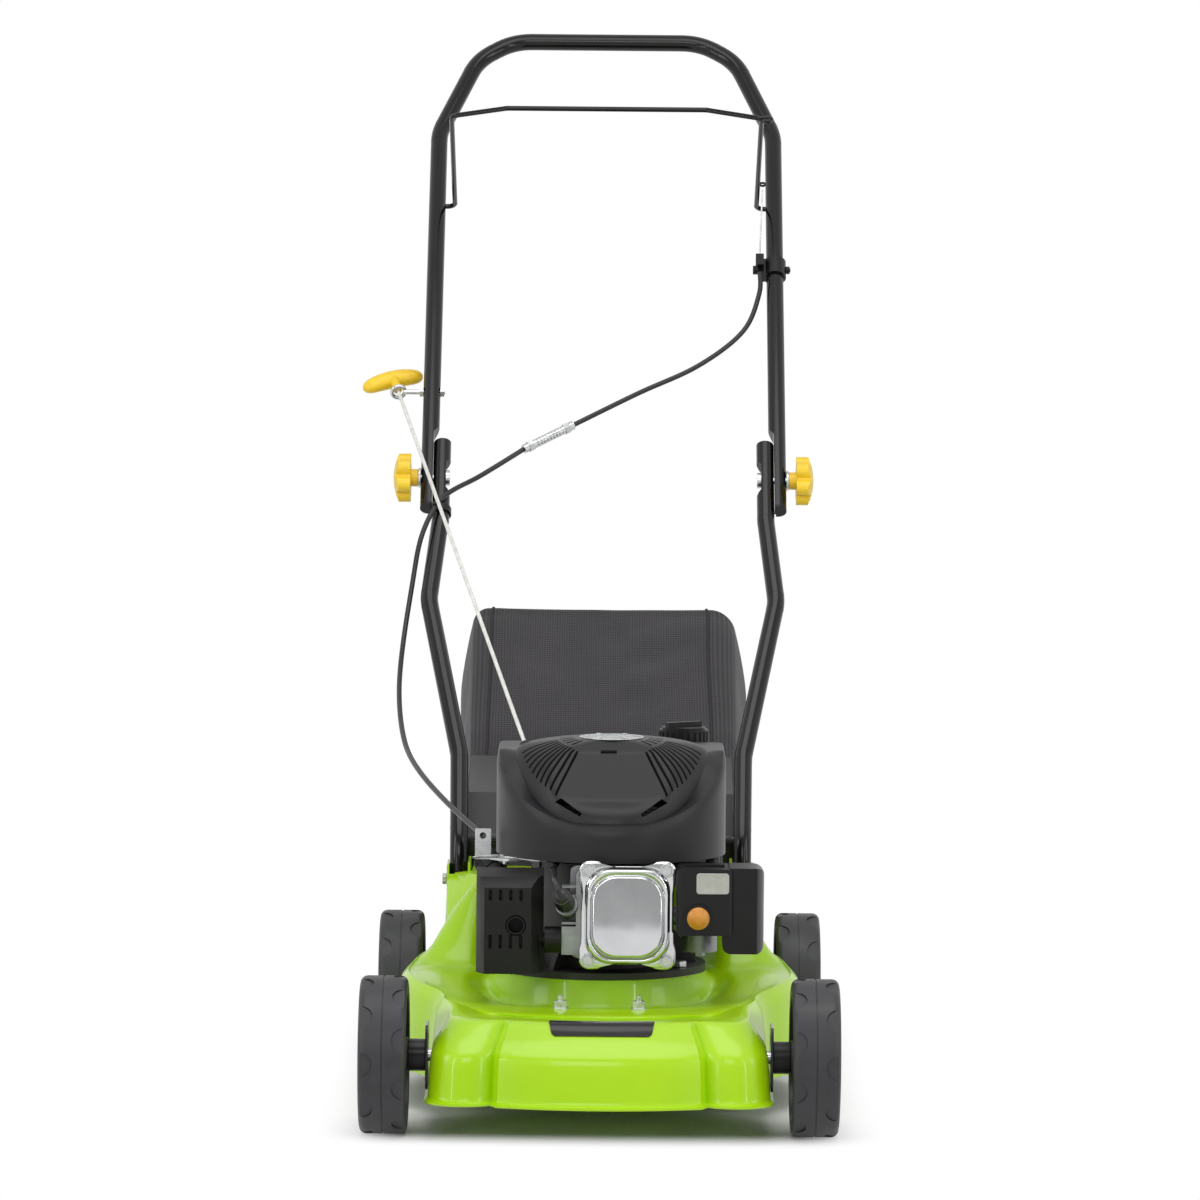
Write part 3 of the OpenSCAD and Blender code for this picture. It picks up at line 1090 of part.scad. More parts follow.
deck();
deck_baffles();
rear_plate();
handle_brackets();
height_brackets();
front_axle();
rear_axle();
axle_spacers();
axle_nuts();
wheel_front_left();
wheel_front_right();
wheel_rear_left();
wheel_rear_right();
lower_handle_left();
lower_handle_right();
handle_bolts();
upper_handle();
tube_plugs_lower();
tube_plugs_upper();
knob_left();
knob_right();
bail_lever();
rope_guide();
starter_grip();
starter_rope();
cable_bracket();
bail_cable();
cable_upper();
cable_adjuster();
cable_clip();
cable_lower();
brake_bracket();
brake_lever();
crankcase();
cylinder_block();
cylinder_head();
valve_cover();
spark_plug();
ignition_lead();
muffler();
muffler_guard();
carburettor();
air_filter_box();
primer_bulb();
fuel_tank();
fuel_cap();
shroud();
recoil_cover();
recoil_pulley();
crankshaft();
flywheel();
blade_adapter();
blade();
blade_bolt();
deck_bolts();
dipstick();
rear_flap();
flap_rod();
grass_bag();
bag_frame();
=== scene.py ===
import bpy
import json
import math
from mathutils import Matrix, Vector, noise

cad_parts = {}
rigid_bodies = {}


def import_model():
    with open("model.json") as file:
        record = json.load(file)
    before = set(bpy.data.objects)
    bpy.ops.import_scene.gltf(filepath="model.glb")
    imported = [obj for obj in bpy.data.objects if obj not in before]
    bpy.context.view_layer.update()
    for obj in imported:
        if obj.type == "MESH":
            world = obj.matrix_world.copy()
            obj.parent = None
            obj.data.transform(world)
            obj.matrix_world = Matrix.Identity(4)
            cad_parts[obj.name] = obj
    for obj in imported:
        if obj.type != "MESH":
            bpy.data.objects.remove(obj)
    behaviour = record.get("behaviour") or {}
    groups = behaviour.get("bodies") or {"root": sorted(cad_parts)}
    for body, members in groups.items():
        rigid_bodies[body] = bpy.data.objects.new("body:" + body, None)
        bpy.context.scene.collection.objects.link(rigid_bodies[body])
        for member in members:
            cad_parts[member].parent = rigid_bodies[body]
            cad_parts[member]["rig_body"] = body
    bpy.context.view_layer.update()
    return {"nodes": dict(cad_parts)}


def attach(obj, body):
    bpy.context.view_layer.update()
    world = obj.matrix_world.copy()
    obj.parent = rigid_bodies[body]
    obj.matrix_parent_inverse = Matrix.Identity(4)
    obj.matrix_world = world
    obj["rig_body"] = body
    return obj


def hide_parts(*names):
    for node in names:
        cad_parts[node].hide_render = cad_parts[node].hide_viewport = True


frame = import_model()
nodes = frame["nodes"]
mm = 0.001
print("stage: frame loaded")


def deselect():
    if bpy.context.object and bpy.context.object.mode != "OBJECT":
        bpy.ops.object.mode_set(mode="OBJECT")
    bpy.ops.object.select_all(action="DESELECT")


def focus(piece):
    deselect()
    piece.select_set(True)
    bpy.context.view_layer.objects.active = piece


def editAll(piece):  # edit mode with everything selected
    focus(piece)
    bpy.ops.object.mode_set(mode="EDIT")
    bpy.ops.mesh.select_all(action="SELECT")


def tint(code):  # sRGB hex to linear
    channels = [int(code[i:i + 2], 16) / 255 for i in (1, 3, 5)]
    return [c / 12.92 if c <= 0.04045 else ((c + 0.055) / 1.055) ** 2.4 for c in channels] + [1]


def addNode(tree, kind, settings=None, feeds=(), **links):  # feeds go to the inputs in their order
    made = tree.nodes.new("ShaderNode" + kind)
    for key, value in (settings or {}).items():
        if hasattr(made, key):
            setattr(made, key, value)
        else:
            made.inputs[key].default_value = value
    for socket, source in list(zip(made.inputs, feeds)) + [(made.inputs[k], v) for k, v in links.items()]:
        tree.links.new(source, socket)
    return made


def applyModifier(piece, kind, **settings):
    focus(piece)
    modifier = piece.modifiers.new(kind.title(), kind)
    for key, value in settings.items():
        setattr(modifier, key, value)
    bpy.ops.object.modifier_apply(modifier=modifier.name)


def smoothShade(piece, angle=35):
    focus(piece)
    bpy.ops.object.shade_smooth_by_angle(angle=math.radians(angle))


def meshFrom(name, points, faces):
    mesh = bpy.data.meshes.new(name)
    mesh.from_pydata([Vector(p) * mm for p in points], [], faces)
    piece = bpy.data.objects.new(name, mesh)
    bpy.context.scene.collection.objects.link(piece)
    return piece


def loft(name, rings, closedWay=False, capped=False):  # rings of equal count, in mm
    count = len(rings[0])
    points = [p for ring in rings for p in ring]
    faces = []
    spans = len(rings) if closedWay else len(rings) - 1
    for i in range(spans):
        j = (i + 1) % len(rings)
        for k in range(count):
            n = (k + 1) % count
            faces.append((i * count + k, i * count + n, j * count + n, j * count + k))
    if capped:
        faces.append(tuple(range(count - 1, -1, -1)))
        faces.append(tuple((len(rings) - 1) * count + k for k in range(count)))
    return meshFrom(name, points, faces)


def outwards(piece):
    editAll(piece)
    bpy.ops.mesh.remove_doubles(threshold=1e-6)
    bpy.ops.mesh.normals_make_consistent(inside=False)
    bpy.ops.object.mode_set(mode="OBJECT")


def cutAway(piece, cutters):  # each cutter is taken out of the piece and deleted
    for cutter in cutters:
        applyModifier(piece, "BOOLEAN", operation="DIFFERENCE", solver="MANIFOLD", object=cutter)
        bpy.data.objects.remove(cutter)


def bar(lo, hi, turn=None, about=(0, 0, 0)):  # box between two corners in mm, turned about a point
    deselect()
    size = [b - a for a, b in zip(lo, hi)]
    bpy.ops.mesh.primitive_cube_add(size=1, location=[(a + b) / 2 * mm for a, b in zip(lo, hi)])
    piece = bpy.context.object
    piece.scale = [s * mm for s in size]
    bpy.ops.object.transform_apply(location=True, rotation=True, scale=True)
    if turn is not None:
        editAll(piece)
        bpy.ops.transform.rotate(value=-math.radians(turn), orient_axis="Z",
                                 center_override=[c * mm for c in about])
        bpy.ops.object.mode_set(mode="OBJECT")
    return piece


def rod(start, end, r, sides=48):  # cylinder between two points in mm
    deselect()
    a, b = Vector(start), Vector(end)
    bpy.ops.mesh.primitive_cylinder_add(vertices=sides, radius=r * mm, depth=(b - a).length * mm,
                                        location=(a + b) / 2 * mm,
                                        rotation=(b - a).to_track_quat("Z", "Y").to_euler())
    bpy.ops.object.transform_apply(location=True, rotation=True, scale=True)
    return bpy.context.object


def joined(pieces, name):
    focus(pieces[0])
    for piece in pieces:
        piece.select_set(True)
    if len(pieces) > 1:
        bpy.ops.object.join()
    pieces[0].name = pieces[0].data.name = name
    return pieces[0]


def rounded(piece, width, steps=3, angle=40):
    applyModifier(piece, "BEVEL", width=width * mm, segments=steps, limit_method="ANGLE",
                  angle_limit=math.radians(angle), use_clamp_overlap=True)
    smoothShade(piece, 50)
    applyModifier(piece, "WEIGHTED_NORMAL", mode="FACE_AREA", keep_sharp=True)


def finish(piece, material, body, replaced=()):
    piece.data.materials.clear()
    for part in material if isinstance(material, (list, tuple)) else [material]:
        piece.data.materials.append(part)
    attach(piece, body)
    if replaced:
        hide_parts(*replaced)
    return piece


def curvePiece(name, kind, points, radius, resolution):  # round curve through points in mm
    data = bpy.data.curves.new(name, "CURVE")
    data.dimensions = "3D"
    data.bevel_depth = radius * mm
    data.bevel_resolution = resolution
    data.use_fill_caps = True
    line = data.splines.new(kind)
    line.points.add(len(points) - 1)
    for point, at in zip(line.points, points):
        point.co = (*(at * mm), 1)
    piece = bpy.data.objects.new(name, data)
    bpy.context.scene.collection.objects.link(piece)
    return piece, line


def copied(node):  # own merged copy of a CAD node's mesh
    source = nodes[node].data
    mesh = bpy.data.meshes.new(node + "Skin")
    mesh.from_pydata([v.co.copy() for v in source.vertices], [], [tuple(p.vertices) for p in source.polygons])
    piece = bpy.data.objects.new(node + "Skin", mesh)
    bpy.context.scene.collection.objects.link(piece)
    editAll(piece)
    bpy.ops.mesh.remove_doubles(threshold=1e-6)
    bpy.ops.object.mode_set(mode="OBJECT")
    return piece


def softened(node, edge):  # own copy of a CAD node with its flat faces merged and its edges rounded
    piece = copied(node)
    applyModifier(piece, "DECIMATE", decimate_type="DISSOLVE", angle_limit=math.radians(0.6))
    rounded(piece, edge, 2)
    return piece


def skin(node, material, edge):  # own copy of a CAD node in its finish; edge is 0 on lathe-like parts
    if edge:
        piece = softened(node, edge)
    else:
        piece = copied(node)
        smoothShade(piece)
    return finish(piece, material, nodes[node]["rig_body"], [node])


def surface(name, colours, roughness, metallic=0.0, patch=60, grain=1.0, relief=0.05, spread=0.06,
            sockets=None):
    # two close tones in patches, and a relief of fine grain; patch, grain and relief in mm
    material = bpy.data.materials.new(name)
    material.use_nodes = True
    tree = material.node_tree
    shader = tree.nodes["Principled BSDF"]
    place = addNode(tree, "TexCoord").outputs["Object"]
    patches = addNode(tree, "TexNoise", {"Scale": 1000 / patch, "Detail": 4.0, "Roughness": 0.6},
                      Vector=place)
    tones = addNode(tree, "ValToRGB", Fac=patches.outputs["Fac"])
    tones.color_ramp.elements[0].position = 0.32
    tones.color_ramp.elements[1].position = 0.68
    tones.color_ramp.elements[0].color = tint(colours[0])
    tones.color_ramp.elements[1].color = tint(colours[1])
    tree.links.new(tones.outputs["Color"], shader.inputs["Base Color"])
    grains = addNode(tree, "TexNoise", {"Scale": 1000 / grain, "Detail": 3.0}, Vector=place)
    wear = addNode(tree, "MapRange", {"From Min": 0.3, "From Max": 0.7, "To Min": roughness - spread,
                                      "To Max": roughness + spread}, Value=patches.outputs["Fac"])
    tree.links.new(wear.outputs["Result"], shader.inputs["Roughness"])
    bump = addNode(tree, "Bump", {"Strength": 0.6, "Distance": relief * mm}, Height=grains.outputs["Fac"])
    tree.links.new(bump.outputs["Normal"], shader.inputs["Normal"])
    shader.inputs["Metallic"].default_value = metallic
    for key, value in (sockets or {}).items():
        shader.inputs[key].default_value = value
    return material


# Lime powder enamel over pressed steel: deep gloss with a faint orange peel
limeEnamel = surface("limeEnamel", ("#a5d506", "#addb0a"), 0.3, patch=180, grain=9, relief=0.012, spread=0.04,
                     sockets={"Specular IOR Level": 0.36, "Coat Weight": 0.25, "Coat Roughness": 0.04})
# Black powder paint on tube: deep gloss with sharp highlights
blackPaint = surface("blackPaint", ("#0c0b0b", "#121111"), 0.16, patch=90, grain=6, relief=0.012, spread=0.03,
                     sockets={"Specular IOR Level": 0.34})
# Heat-proof matt paint on the exhaust
heatPaint = surface("heatPaint", ("#0a090a", "#131112"), 0.5, patch=30, grain=1.4, relief=0.04, spread=0.08,
                    sockets={"Specular IOR Level": 0.3})
# Glass-filled nylon: dark grey satin with a fine spark texture
greyNylon = surface("greyNylon", ("#212022", "#272628"), 0.38, patch=120, grain=1.6, relief=0.015,
                    spread=0.04, sockets={"Specular IOR Level": 0.26})
# Polypropylene mouldings, almost black
blackPlastic = surface("blackPlastic", ("#0b0b0c", "#121112"), 0.36, patch=60, grain=1.5, relief=0.02,
                       sockets={"Specular IOR Level": 0.3})
# Grey polypropylene of the flap, a little paler
flapPlastic = surface("flapPlastic", ("#2c2c2d", "#343435"), 0.45, patch=90, grain=1.6, relief=0.04)
# Wheel polypropylene, satin charcoal
wheelPlastic = surface("wheelPlastic", ("#232326", "#2b2b2e"), 0.44, patch=40, grain=1.5, relief=0.04)
# Tyre band, duller with scuffs
tyreRubber = surface("tyreRubber", ("#242427", "#2f2f32"), 0.5, patch=18, grain=1.2, relief=0.07, spread=0.1)
# Yellow ABS knobs and grip
yellowAbs = surface("yellowAbs", ("#efc51c", "#f8d22e"), 0.34, patch=50, grain=1.8, relief=0.015,
                    sockets={"Subsurface Weight": 0.08, "Subsurface Radius": (0.004, 0.003, 0.001)})
# Bright zinc plate on bolts and fittings
zincPlate = surface("zincPlate", ("#b9bbbb", "#d3d5d5"), 0.3, 1.0, patch=9, grain=1.2, relief=0.02,
                    spread=0.09)
# Ground steel shafts
groundSteel = surface("groundSteel", ("#8f9092", "#a5a7a8"), 0.28, 1.0, patch=20, grain=0.9, relief=0.02)
# Die-cast aluminium with a sandy skin
castAlloy = surface("castAlloy", ("#85878a", "#a2a4a6"), 0.5, 1.0, patch=14, grain=1.6,
                    relief=0.12, spread=0.1)
# Black-painted casting of the engine's lower half
darkCasting = surface("darkCasting", ("#1b1b1b", "#262625"), 0.5, patch=14, grain=1.6, relief=0.12,
                      spread=0.08)
# Bright formed cover over the valves
brightAlloy = surface("brightAlloy", ("#c9cacb", "#d6d7d8"), 0.09, 1.0, patch=40, grain=6,
                      relief=0.002, spread=0.02)
# Blank anodised plate on the air box
palePlate = surface("palePlate", ("#a9a8a4", "#b8b7b2"), 0.42, patch=12, grain=1.2, relief=0.015)
# Orange rubber bulb, slightly see-through
orangeRubber = surface("orangeRubber", ("#c78024", "#d69436"), 0.34, patch=12, grain=2, relief=0.02,
                       sockets={"Subsurface Weight": 0.15, "Subsurface Radius": (0.004, 0.002, 0.001)})
# PVC jacket on the brake cable
blackPvc = surface("blackPvc", ("#111011", "#191718"), 0.36, patch=25, grain=1.2, relief=0.02)
print("stage: plain finishes")


def waveScale(spacing):  # scale of a wave pattern whose bands lie this many mm apart
    return 1000 / spacing / math.tau


def banded(name, colours, roughness, spacing, turn, relief, metallic=0.0, sockets=None, scale=(1, 1, 1)):
    # strands or brushing: bands across one direction
    material = surface(name, colours, roughness, metallic, patch=8, grain=1, relief=relief, sockets=sockets)
    tree = material.node_tree
    shader = tree.nodes["Principled BSDF"]
    place = addNode(tree, "TexCoord").outputs["Object"]
    turned = addNode(tree, "Mapping", {"Rotation": turn, "Scale": scale}, Vector=place)
    bands = addNode(tree, "TexWave", {"Scale": waveScale(spacing), "Distortion": 0.6, "Detail": 1.0},
                    Vector=turned.outputs["Vector"])
    bump = addNode(tree, "Bump", {"Strength": 0.8, "Distance": relief * mm}, Height=bands.outputs["Fac"])
    tree.links.new(bump.outputs["Normal"], shader.inputs["Normal"])
    return material


# White braided nylon rope: strands run round it
nylonRope = banded("nylonRope", ("#d9d8d3", "#f1f0ec"), 0.7, 2.6, (0, 0.9, 0.6), 0.5,
                   sockets={"Sheen Weight": 0.3})
# Brushed steel top plate
brushedSteel = banded("brushedSteel", ("#a8aaab", "#c4c5c6"), 0.3, 1.1, (0, 0, 0.4), 0.03, 1.0)


def cloth(name, colours, thread, sockets=None):
    # plain weave on the piece's own UV map, one unit to the metre; thread pitch in mm, drawn coarse to show
    material = bpy.data.materials.new(name)
    material.use_nodes = True
    tree = material.node_tree
    shader = tree.nodes["Principled BSDF"]
    place = addNode(tree, "UVMap", {"uv_map": "weaveMap"}).outputs["UV"]
    strands = {"Scale": waveScale(thread), "Distortion": 0.4, "Detail": 1.0, "Detail Scale": 2.0}
    ways = [addNode(tree, "TexWave", {"bands_direction": way, **strands}, Vector=place) for way in "XY"]
    weave = addNode(tree, "Math", {"operation": "MULTIPLY"}, [way.outputs["Fac"] for way in ways])
    fade = addNode(tree, "TexNoise", {"Scale": 14.0, "Detail": 5.0, "Roughness": 0.65}, Vector=place)
    tones = addNode(tree, "ValToRGB", Fac=fade.outputs["Fac"])
    tones.color_ramp.elements[0].position, tones.color_ramp.elements[1].position = 0.3, 0.7
    tones.color_ramp.elements[0].color = tint(colours[1])
    tones.color_ramp.elements[1].color = tint(colours[2])
    shade = addNode(tree, "ValToRGB", Fac=weave.outputs["Value"])
    shade.color_ramp.elements[0].color, shade.color_ramp.elements[1].color = tint(colours[0]), (1, 1, 1, 1)
    shade.color_ramp.elements[1].position = 0.45
    mixed = addNode(tree, "MixRGB", {"blend_type": "MULTIPLY", "Fac": 0.75}, Color1=tones.outputs["Color"],
                    Color2=shade.outputs["Color"])
    tree.links.new(mixed.outputs["Color"], shader.inputs["Base Color"])
    bump = addNode(tree, "Bump", {"Strength": 0.7, "Distance": 0.25 * mm}, Height=weave.outputs["Value"])
    tree.links.new(bump.outputs["Normal"], shader.inputs["Normal"])
    shader.inputs["Roughness"].default_value = 0.85
    shader.inputs["Sheen Weight"].default_value = 0.2
    shader.inputs["Sheen Roughness"].default_value = 0.5
    for key, value in (sockets or {}).items():
        shader.inputs[key].default_value = value
    return material


# Polyester mesh of the bag, and the closer cloth of its sleeves and hem
bagMesh = cloth("bagMesh", ("#636162", "#3f3d40", "#49464a"), 1.6)
sleeveCloth = cloth("sleeveCloth", ("#8d8d8d", "#262425", "#2e2b2c"), 1.4)
hemTape = cloth("hemTape", ("#8d8d8d", "#0d0c0d", "#151314"), 1.4)
# Woven tape over the bag's seams
sleevePiping = surface("sleevePiping", ("#1a1819", "#232122"), 0.7, patch=10, grain=1.2, relief=0.1)
print("stage: cloth finishes")


camera = {"place": (-0.0065, -6.165, 0.9), "lens": 185, "tilt": 3.72, "roll": -0.5}
cameraData = bpy.data.cameras.new("frontCamera")
cameraData.lens = camera["lens"]
cameraData.sensor_width = 36
cameraData.clip_end = 60
cameraPiece = bpy.data.objects.new("frontCamera", cameraData)
cameraPiece.location = camera["place"]
cameraPiece.rotation_euler = (math.radians(90 - camera["tilt"]), math.radians(camera["roll"]), 0)
bpy.context.scene.collection.objects.link(cameraPiece)
bpy.context.scene.camera = cameraPiece


def curveValue(a, b, c, d, f):  # smooth curve from b to c, with a and d on either side
    return 0.5 * (2 * b + (c - a) * f + (2 * a - 5 * b + 4 * c - d) * f * f
                  + (3 * b - a - 3 * c + d) * f ** 3)


def splinePoint(p, i, f):
    a, b, c, d = (Vector(p[k]) for k in (max(0, i - 1), i, i + 1, min(len(p) - 1, i + 2)))
    return curveValue(a, b, c, d, f)


def smoothRoute(p, steps):
    return [splinePoint(p, i, k / steps) for i in range(len(p) - 1) for k in range(steps)] + [Vector(p[-1])]


def cordCurve(name, route, radius, material, steps):
    points = smoothRoute(route, steps)
    piece, line = curvePiece(name, "NURBS", points, radius, 5)
    piece.data.resolution_u = 6
    line.use_endpoint_u = True
    line.order_u = 3
    piece.data.materials.append(material)
    return piece, sum((b - a).length for a, b in zip(points, points[1:])) * mm


handleAngle = math.radians(50)


def onHandle(x, t, lift=0):  # point on the handle's slope, in mm
    return Vector((x, 252 + t * math.cos(handleAngle) - lift * math.sin(handleAngle),
                   223 + t * math.sin(handleAngle) + lift * math.cos(handleAngle)))


ropeFrom = Vector((-76, 10, 350))
guidePoint = onHandle(-227, 604)
ropeWay = (guidePoint - ropeFrom).normalized()
clipPoint = onHandle(-180.7, 438.4, 14.5)
adjusterA, adjusterB = Vector((-34, 630, 651)), Vector((-88, 605, 625))
adjusterWay = (adjusterB - adjusterA).normalized()
ferrule = Vector((173, 753.9, 838.3))
ferruleLow = Vector((173, 738.5, 819.9))
cableEye = Vector((175.35, 758.7, 917.9))

cords = {
    "starterRope": {"route": [ropeFrom.lerp(guidePoint + ropeWay * 8.25, k / 8) for k in range(9)],
                    "radius": 2, "steps": 2, "node": "starter_rope", "finish": nylonRope,
                    "stiffness": "limp", "lay": "taut"},
    "upperCable": {"route": [ferruleLow, (172, 730, 795), (154, 710, 754), (104, 685, 716), (38, 660, 686),
                             adjusterA - 0.3 * adjusterWay],
                   "radius": 2.75, "steps": 6, "node": "cable_upper", "finish": blackPvc,
                   "stiffness": "stiff", "lay": "hanging"},
    "lowerCable": {"route": [adjusterB + 0.3 * adjusterWay, (-136, 572, 596), (-163, 541, 583), clipPoint,
                             (-197, 499, 533), (-205, 475, 486), (-214, 425, 418), (-215, 355, 371),
                             (-206, 265, 331), (-187, 175, 308), (-154, 75, 284), (-120, -13, 264.5)],
                   "radius": 2.75, "steps": 3, "node": "cable_lower", "finish": blackPvc,
                   "stiffness": "stiff", "lay": "hanging"},
    "bailWire": {"route": [ferrule, ferrule.lerp(cableEye, 0.5) + Vector((0, -2, 0)),
                           cableEye - Vector((0, 0, 5.5))],
                 "radius": 0.9, "steps": 8, "node": "bail_cable", "finish": zincPlate,
                 "stiffness": "stiff", "lay": "taut"},
}
for name, spec in cords.items():
    piece, length = cordCurve(name, spec["route"], spec["radius"], spec["finish"], spec["steps"])
    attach(piece, nodes[spec["node"]]["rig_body"])
    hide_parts(spec["node"])
    print("cord", name, round(length, 3))
print("stage: camera and cords")


deck = {"halfWidth": 164, "frontReach": 355, "frontBow": 16, "rearReach": 328, "chamber": 208, "sheet": 2,
        "rim": 40, "platform": 128, "well": 46, "crease": 97, "lobeX": 36, "lobeY": 33}


axleHeight, axlePlaces = 76, (-265, 285)
crestBolt = {"x": (-38.5, 38.5), "y": -150, "shank": 2.9, "washer": 8, "nut": 6.9}
engineBolt = {"circle": 92, "angles": (90, 210, 330), "shank": 3.9, "nut": 7.5}
deckCuts = {"chute": ((-138, 312, 108), (138, 336, 190)), "bracket": ((134, 236, 168), (184, 348, 260)),
            "axleRoom": (12, 8, 25), "crestHole": 3.05, "engineHole": 4.05}


def ease(f):
    f = max(0.0, min(1.0, f))
    return f * f * (3 - 2 * f)


def mix(a, b, f):
    return a + (b - a) * f


def turned(r, angle):
    return (r * math.cos(math.radians(angle)), r * math.sin(math.radians(angle)))


def deckOutline():
    w, front, bow, rear, crease, lobeX, lobeY = (
        deck[k] for k in ("halfWidth", "frontReach", "frontBow", "rearReach", "crease", "lobeX", "lobeY"))
    half = [(crease * i / 10, -front + bow * (i / 10) ** 2) for i in range(11)]
    half.append((crease + 4, -front + bow + 11))
    for k in range(25):
        x, y = turned(1, -135 + k * 5.625)
        half.append((w - lobeX + lobeX * x, -front + bow + lobeY + 3 + lobeY * y))
    half += [(w, y) for y in (-280, -260, -240, -220, -200, -180, -160, -150)]
    half += [(w + 2, -137), (w + 4, -130), (w + 6, -124)]
    half += [turned(deck["chamber"], a) for a in range(-32, 33, 2)]
    half += [(w + 6, 124), (w + 4, 130), (w + 2, 137)]
    half += [(w, y) for y in (150, 170, 190, 210, 232, 256, 280, 300)]
    half += [(w, rear - 9), (w - 1, rear - 5.5), (w - 3, rear - 3), (w - 6, rear - 1.2), (w - 10, rear)]
    half += [(x, rear) for x in (130, 110, 82, 55, 27, 0)]
    return half + [(-x, y) for x, y in reversed(half[1:-1])]


def deckSection(foot, y):  # radius and height from the rim up to the engine platform
    rim, platform, chamber = deck["rim"], deck["platform"], deck["chamber"]
    shoulder = rim + 74 + 10 * ease((y + 190) / 190) + 12 * ease(y / 120) + 62 * ease((y - 150) / 110)
    crest = rim + 67 + 17 * ease((y + 190) / 190) + 79 * ease((y - 32) / 108)
    moat = mix(rim + 58, platform - 6, ease((y + 150) / 200))
    apron, ring = min(foot - 17, chamber + 7), min(foot - 22, chamber - 3)
    lean = ease((foot - chamber - 30) / 90) * ease((-60 - y) / 100)
    return [(foot + 7, rim - 1.5), (foot + 1.5, rim + 1), (foot, rim + 5),
            (foot - 3 - lean, mix(rim, shoulder, 0.5)), (foot - 7 - 4 * lean, shoulder - mix(10, 25, lean)),
            (foot - 12 - 22 * lean, shoulder - mix(2, 7, lean)),
            (mix(apron, foot - 14, mix(0.45, 0.68, lean)), shoulder + mix(2, 0.5, lean)),
            (apron, mix(mix(shoulder, crest, 0.1), crest - 3, lean)),
            (ring, mix(mix(shoulder, crest, 0.32), crest - 1, lean)),
            (178, mix(mix(shoulder, crest, 0.72), crest + 1, lean)), (163, crest + 0.5), (148, crest - 1),
            (135, mix(moat, crest, 0.7)), (122, mix(moat, crest, 0.1)), (113, moat), (106, platform - 1.5),
            (101, platform), (deck["well"], platform)]


def innerSide(section, t):
    inner = []
    for i, (r, z) in enumerate(section):
        a, b = section[max(0, i - 1)], section[min(len(section) - 1, i + 1)]
        d = Vector((b[0] - a[0], b[1] - a[1])).normalized()
        inner.append((r - t * d.y, z + t * d.x))
    return inner


def makeDeck():
    outline = deckOutline()
    fine = []
    for x, y in outline:
        outer = deckSection(math.hypot(x, y), y)
        a, b = (smoothRoute([(r, z, 0) for r, z in side], 3)
                for side in (outer, innerSide(outer, deck["sheet"])))
        fine.append([(p.x, p.y) for p in a] + [(p.x, p.y) for p in reversed(b)])
    rings = []
    for level in range(len(fine[0])):
        ring = []
        for (x, y), section in zip(outline, fine):
            far = math.hypot(x, y)
            r, z = section[level]
            ring.append((x / far * r, y / far * r, z))
        rings.append(ring)
    piece = loft("deckShell", rings, closedWay=True)
    outwards(piece)
    c = deckCuts
    cuts = [bar(c["chute"][0], c["chute"][1])]
    for side in (-1, 1):
        (x0, y0, z0), (x1, y1, z1) = c["bracket"]
        cuts.append(bar((min(side * x0, side * x1), y0, z0), (max(side * x0, side * x1), y1, z1)))
        x, (dx, dy, dz) = side * deck["halfWidth"], c["axleRoom"]
        cuts += [bar((x - dx, y - dy, axleHeight - dz), (x + dx, y + dy, axleHeight + dz))
                 for y in axlePlaces]
    cuts += [rod((x, crestBolt["y"], 90), (x, crestBolt["y"], 130), c["crestHole"]) for x in crestBolt["x"]]
    around = [turned(engineBolt["circle"], a) for a in engineBolt["angles"]]
    cuts += [rod((x, y, 118), (x, y, 133), c["engineHole"]) for x, y in around]
    cutAway(piece, cuts)
    smoothShade(piece, 38)
    return finish(piece, limeEnamel, "chassis", ["deck"])


def deckHeight(x, y):  # height of the shell's front over a point, in mm
    far = math.hypot(x, y)
    foot = far
    for attempt in range(5):
        foot = (-deck["frontReach"] + deck["frontBow"] * (x / far * foot / deck["crease"]) ** 2) * far / y
    line = smoothRoute([(r, z, 0) for r, z in deckSection(foot, y / far * foot)], 3)
    for a, b in zip(line, line[1:]):
        if b.x <= far <= a.x:
            return mix(a.y, b.y, (a.x - far) / (a.x - b.x))
    return deck["rim"]


frontPlate = {"centre": 2, "topReach": 305, "lowReach": 327, "topHalf": 51.5, "lowHalf": 47.5, "sheet": 0.9}


def makeFrontPlate():
    p = frontPlate
    columns, rows = 30, 8
    points, faces = [], []
    for v in range(rows + 1):
        reach = mix(p["topReach"], p["lowReach"], v / rows)
        half = mix(p["topHalf"], p["lowHalf"], v / rows)
        half -= 2.5 * max(0, abs(v / rows - 0.5) * 2 - 0.72) / 0.28
        for c in range(columns + 1):
            x = p["centre"] + mix(-half, half, c / columns)
            y = -math.sqrt(reach * reach - x * x)
            points.append((x, y, deckHeight(x, y) + 0.25))
    for v in range(rows):
        for c in range(columns):
            k = v * (columns + 1) + c
            faces.append((k, k + columns + 1, k + columns + 2, k + 1))
    piece = meshFrom("frontPlate", points, faces)
    applyModifier(piece, "SOLIDIFY", thickness=p["sheet"] * mm, offset=1)
    outwards(piece)
    rounded(piece, 0.3, 2, 50)
    return finish(piece, blackPaint, "chassis")


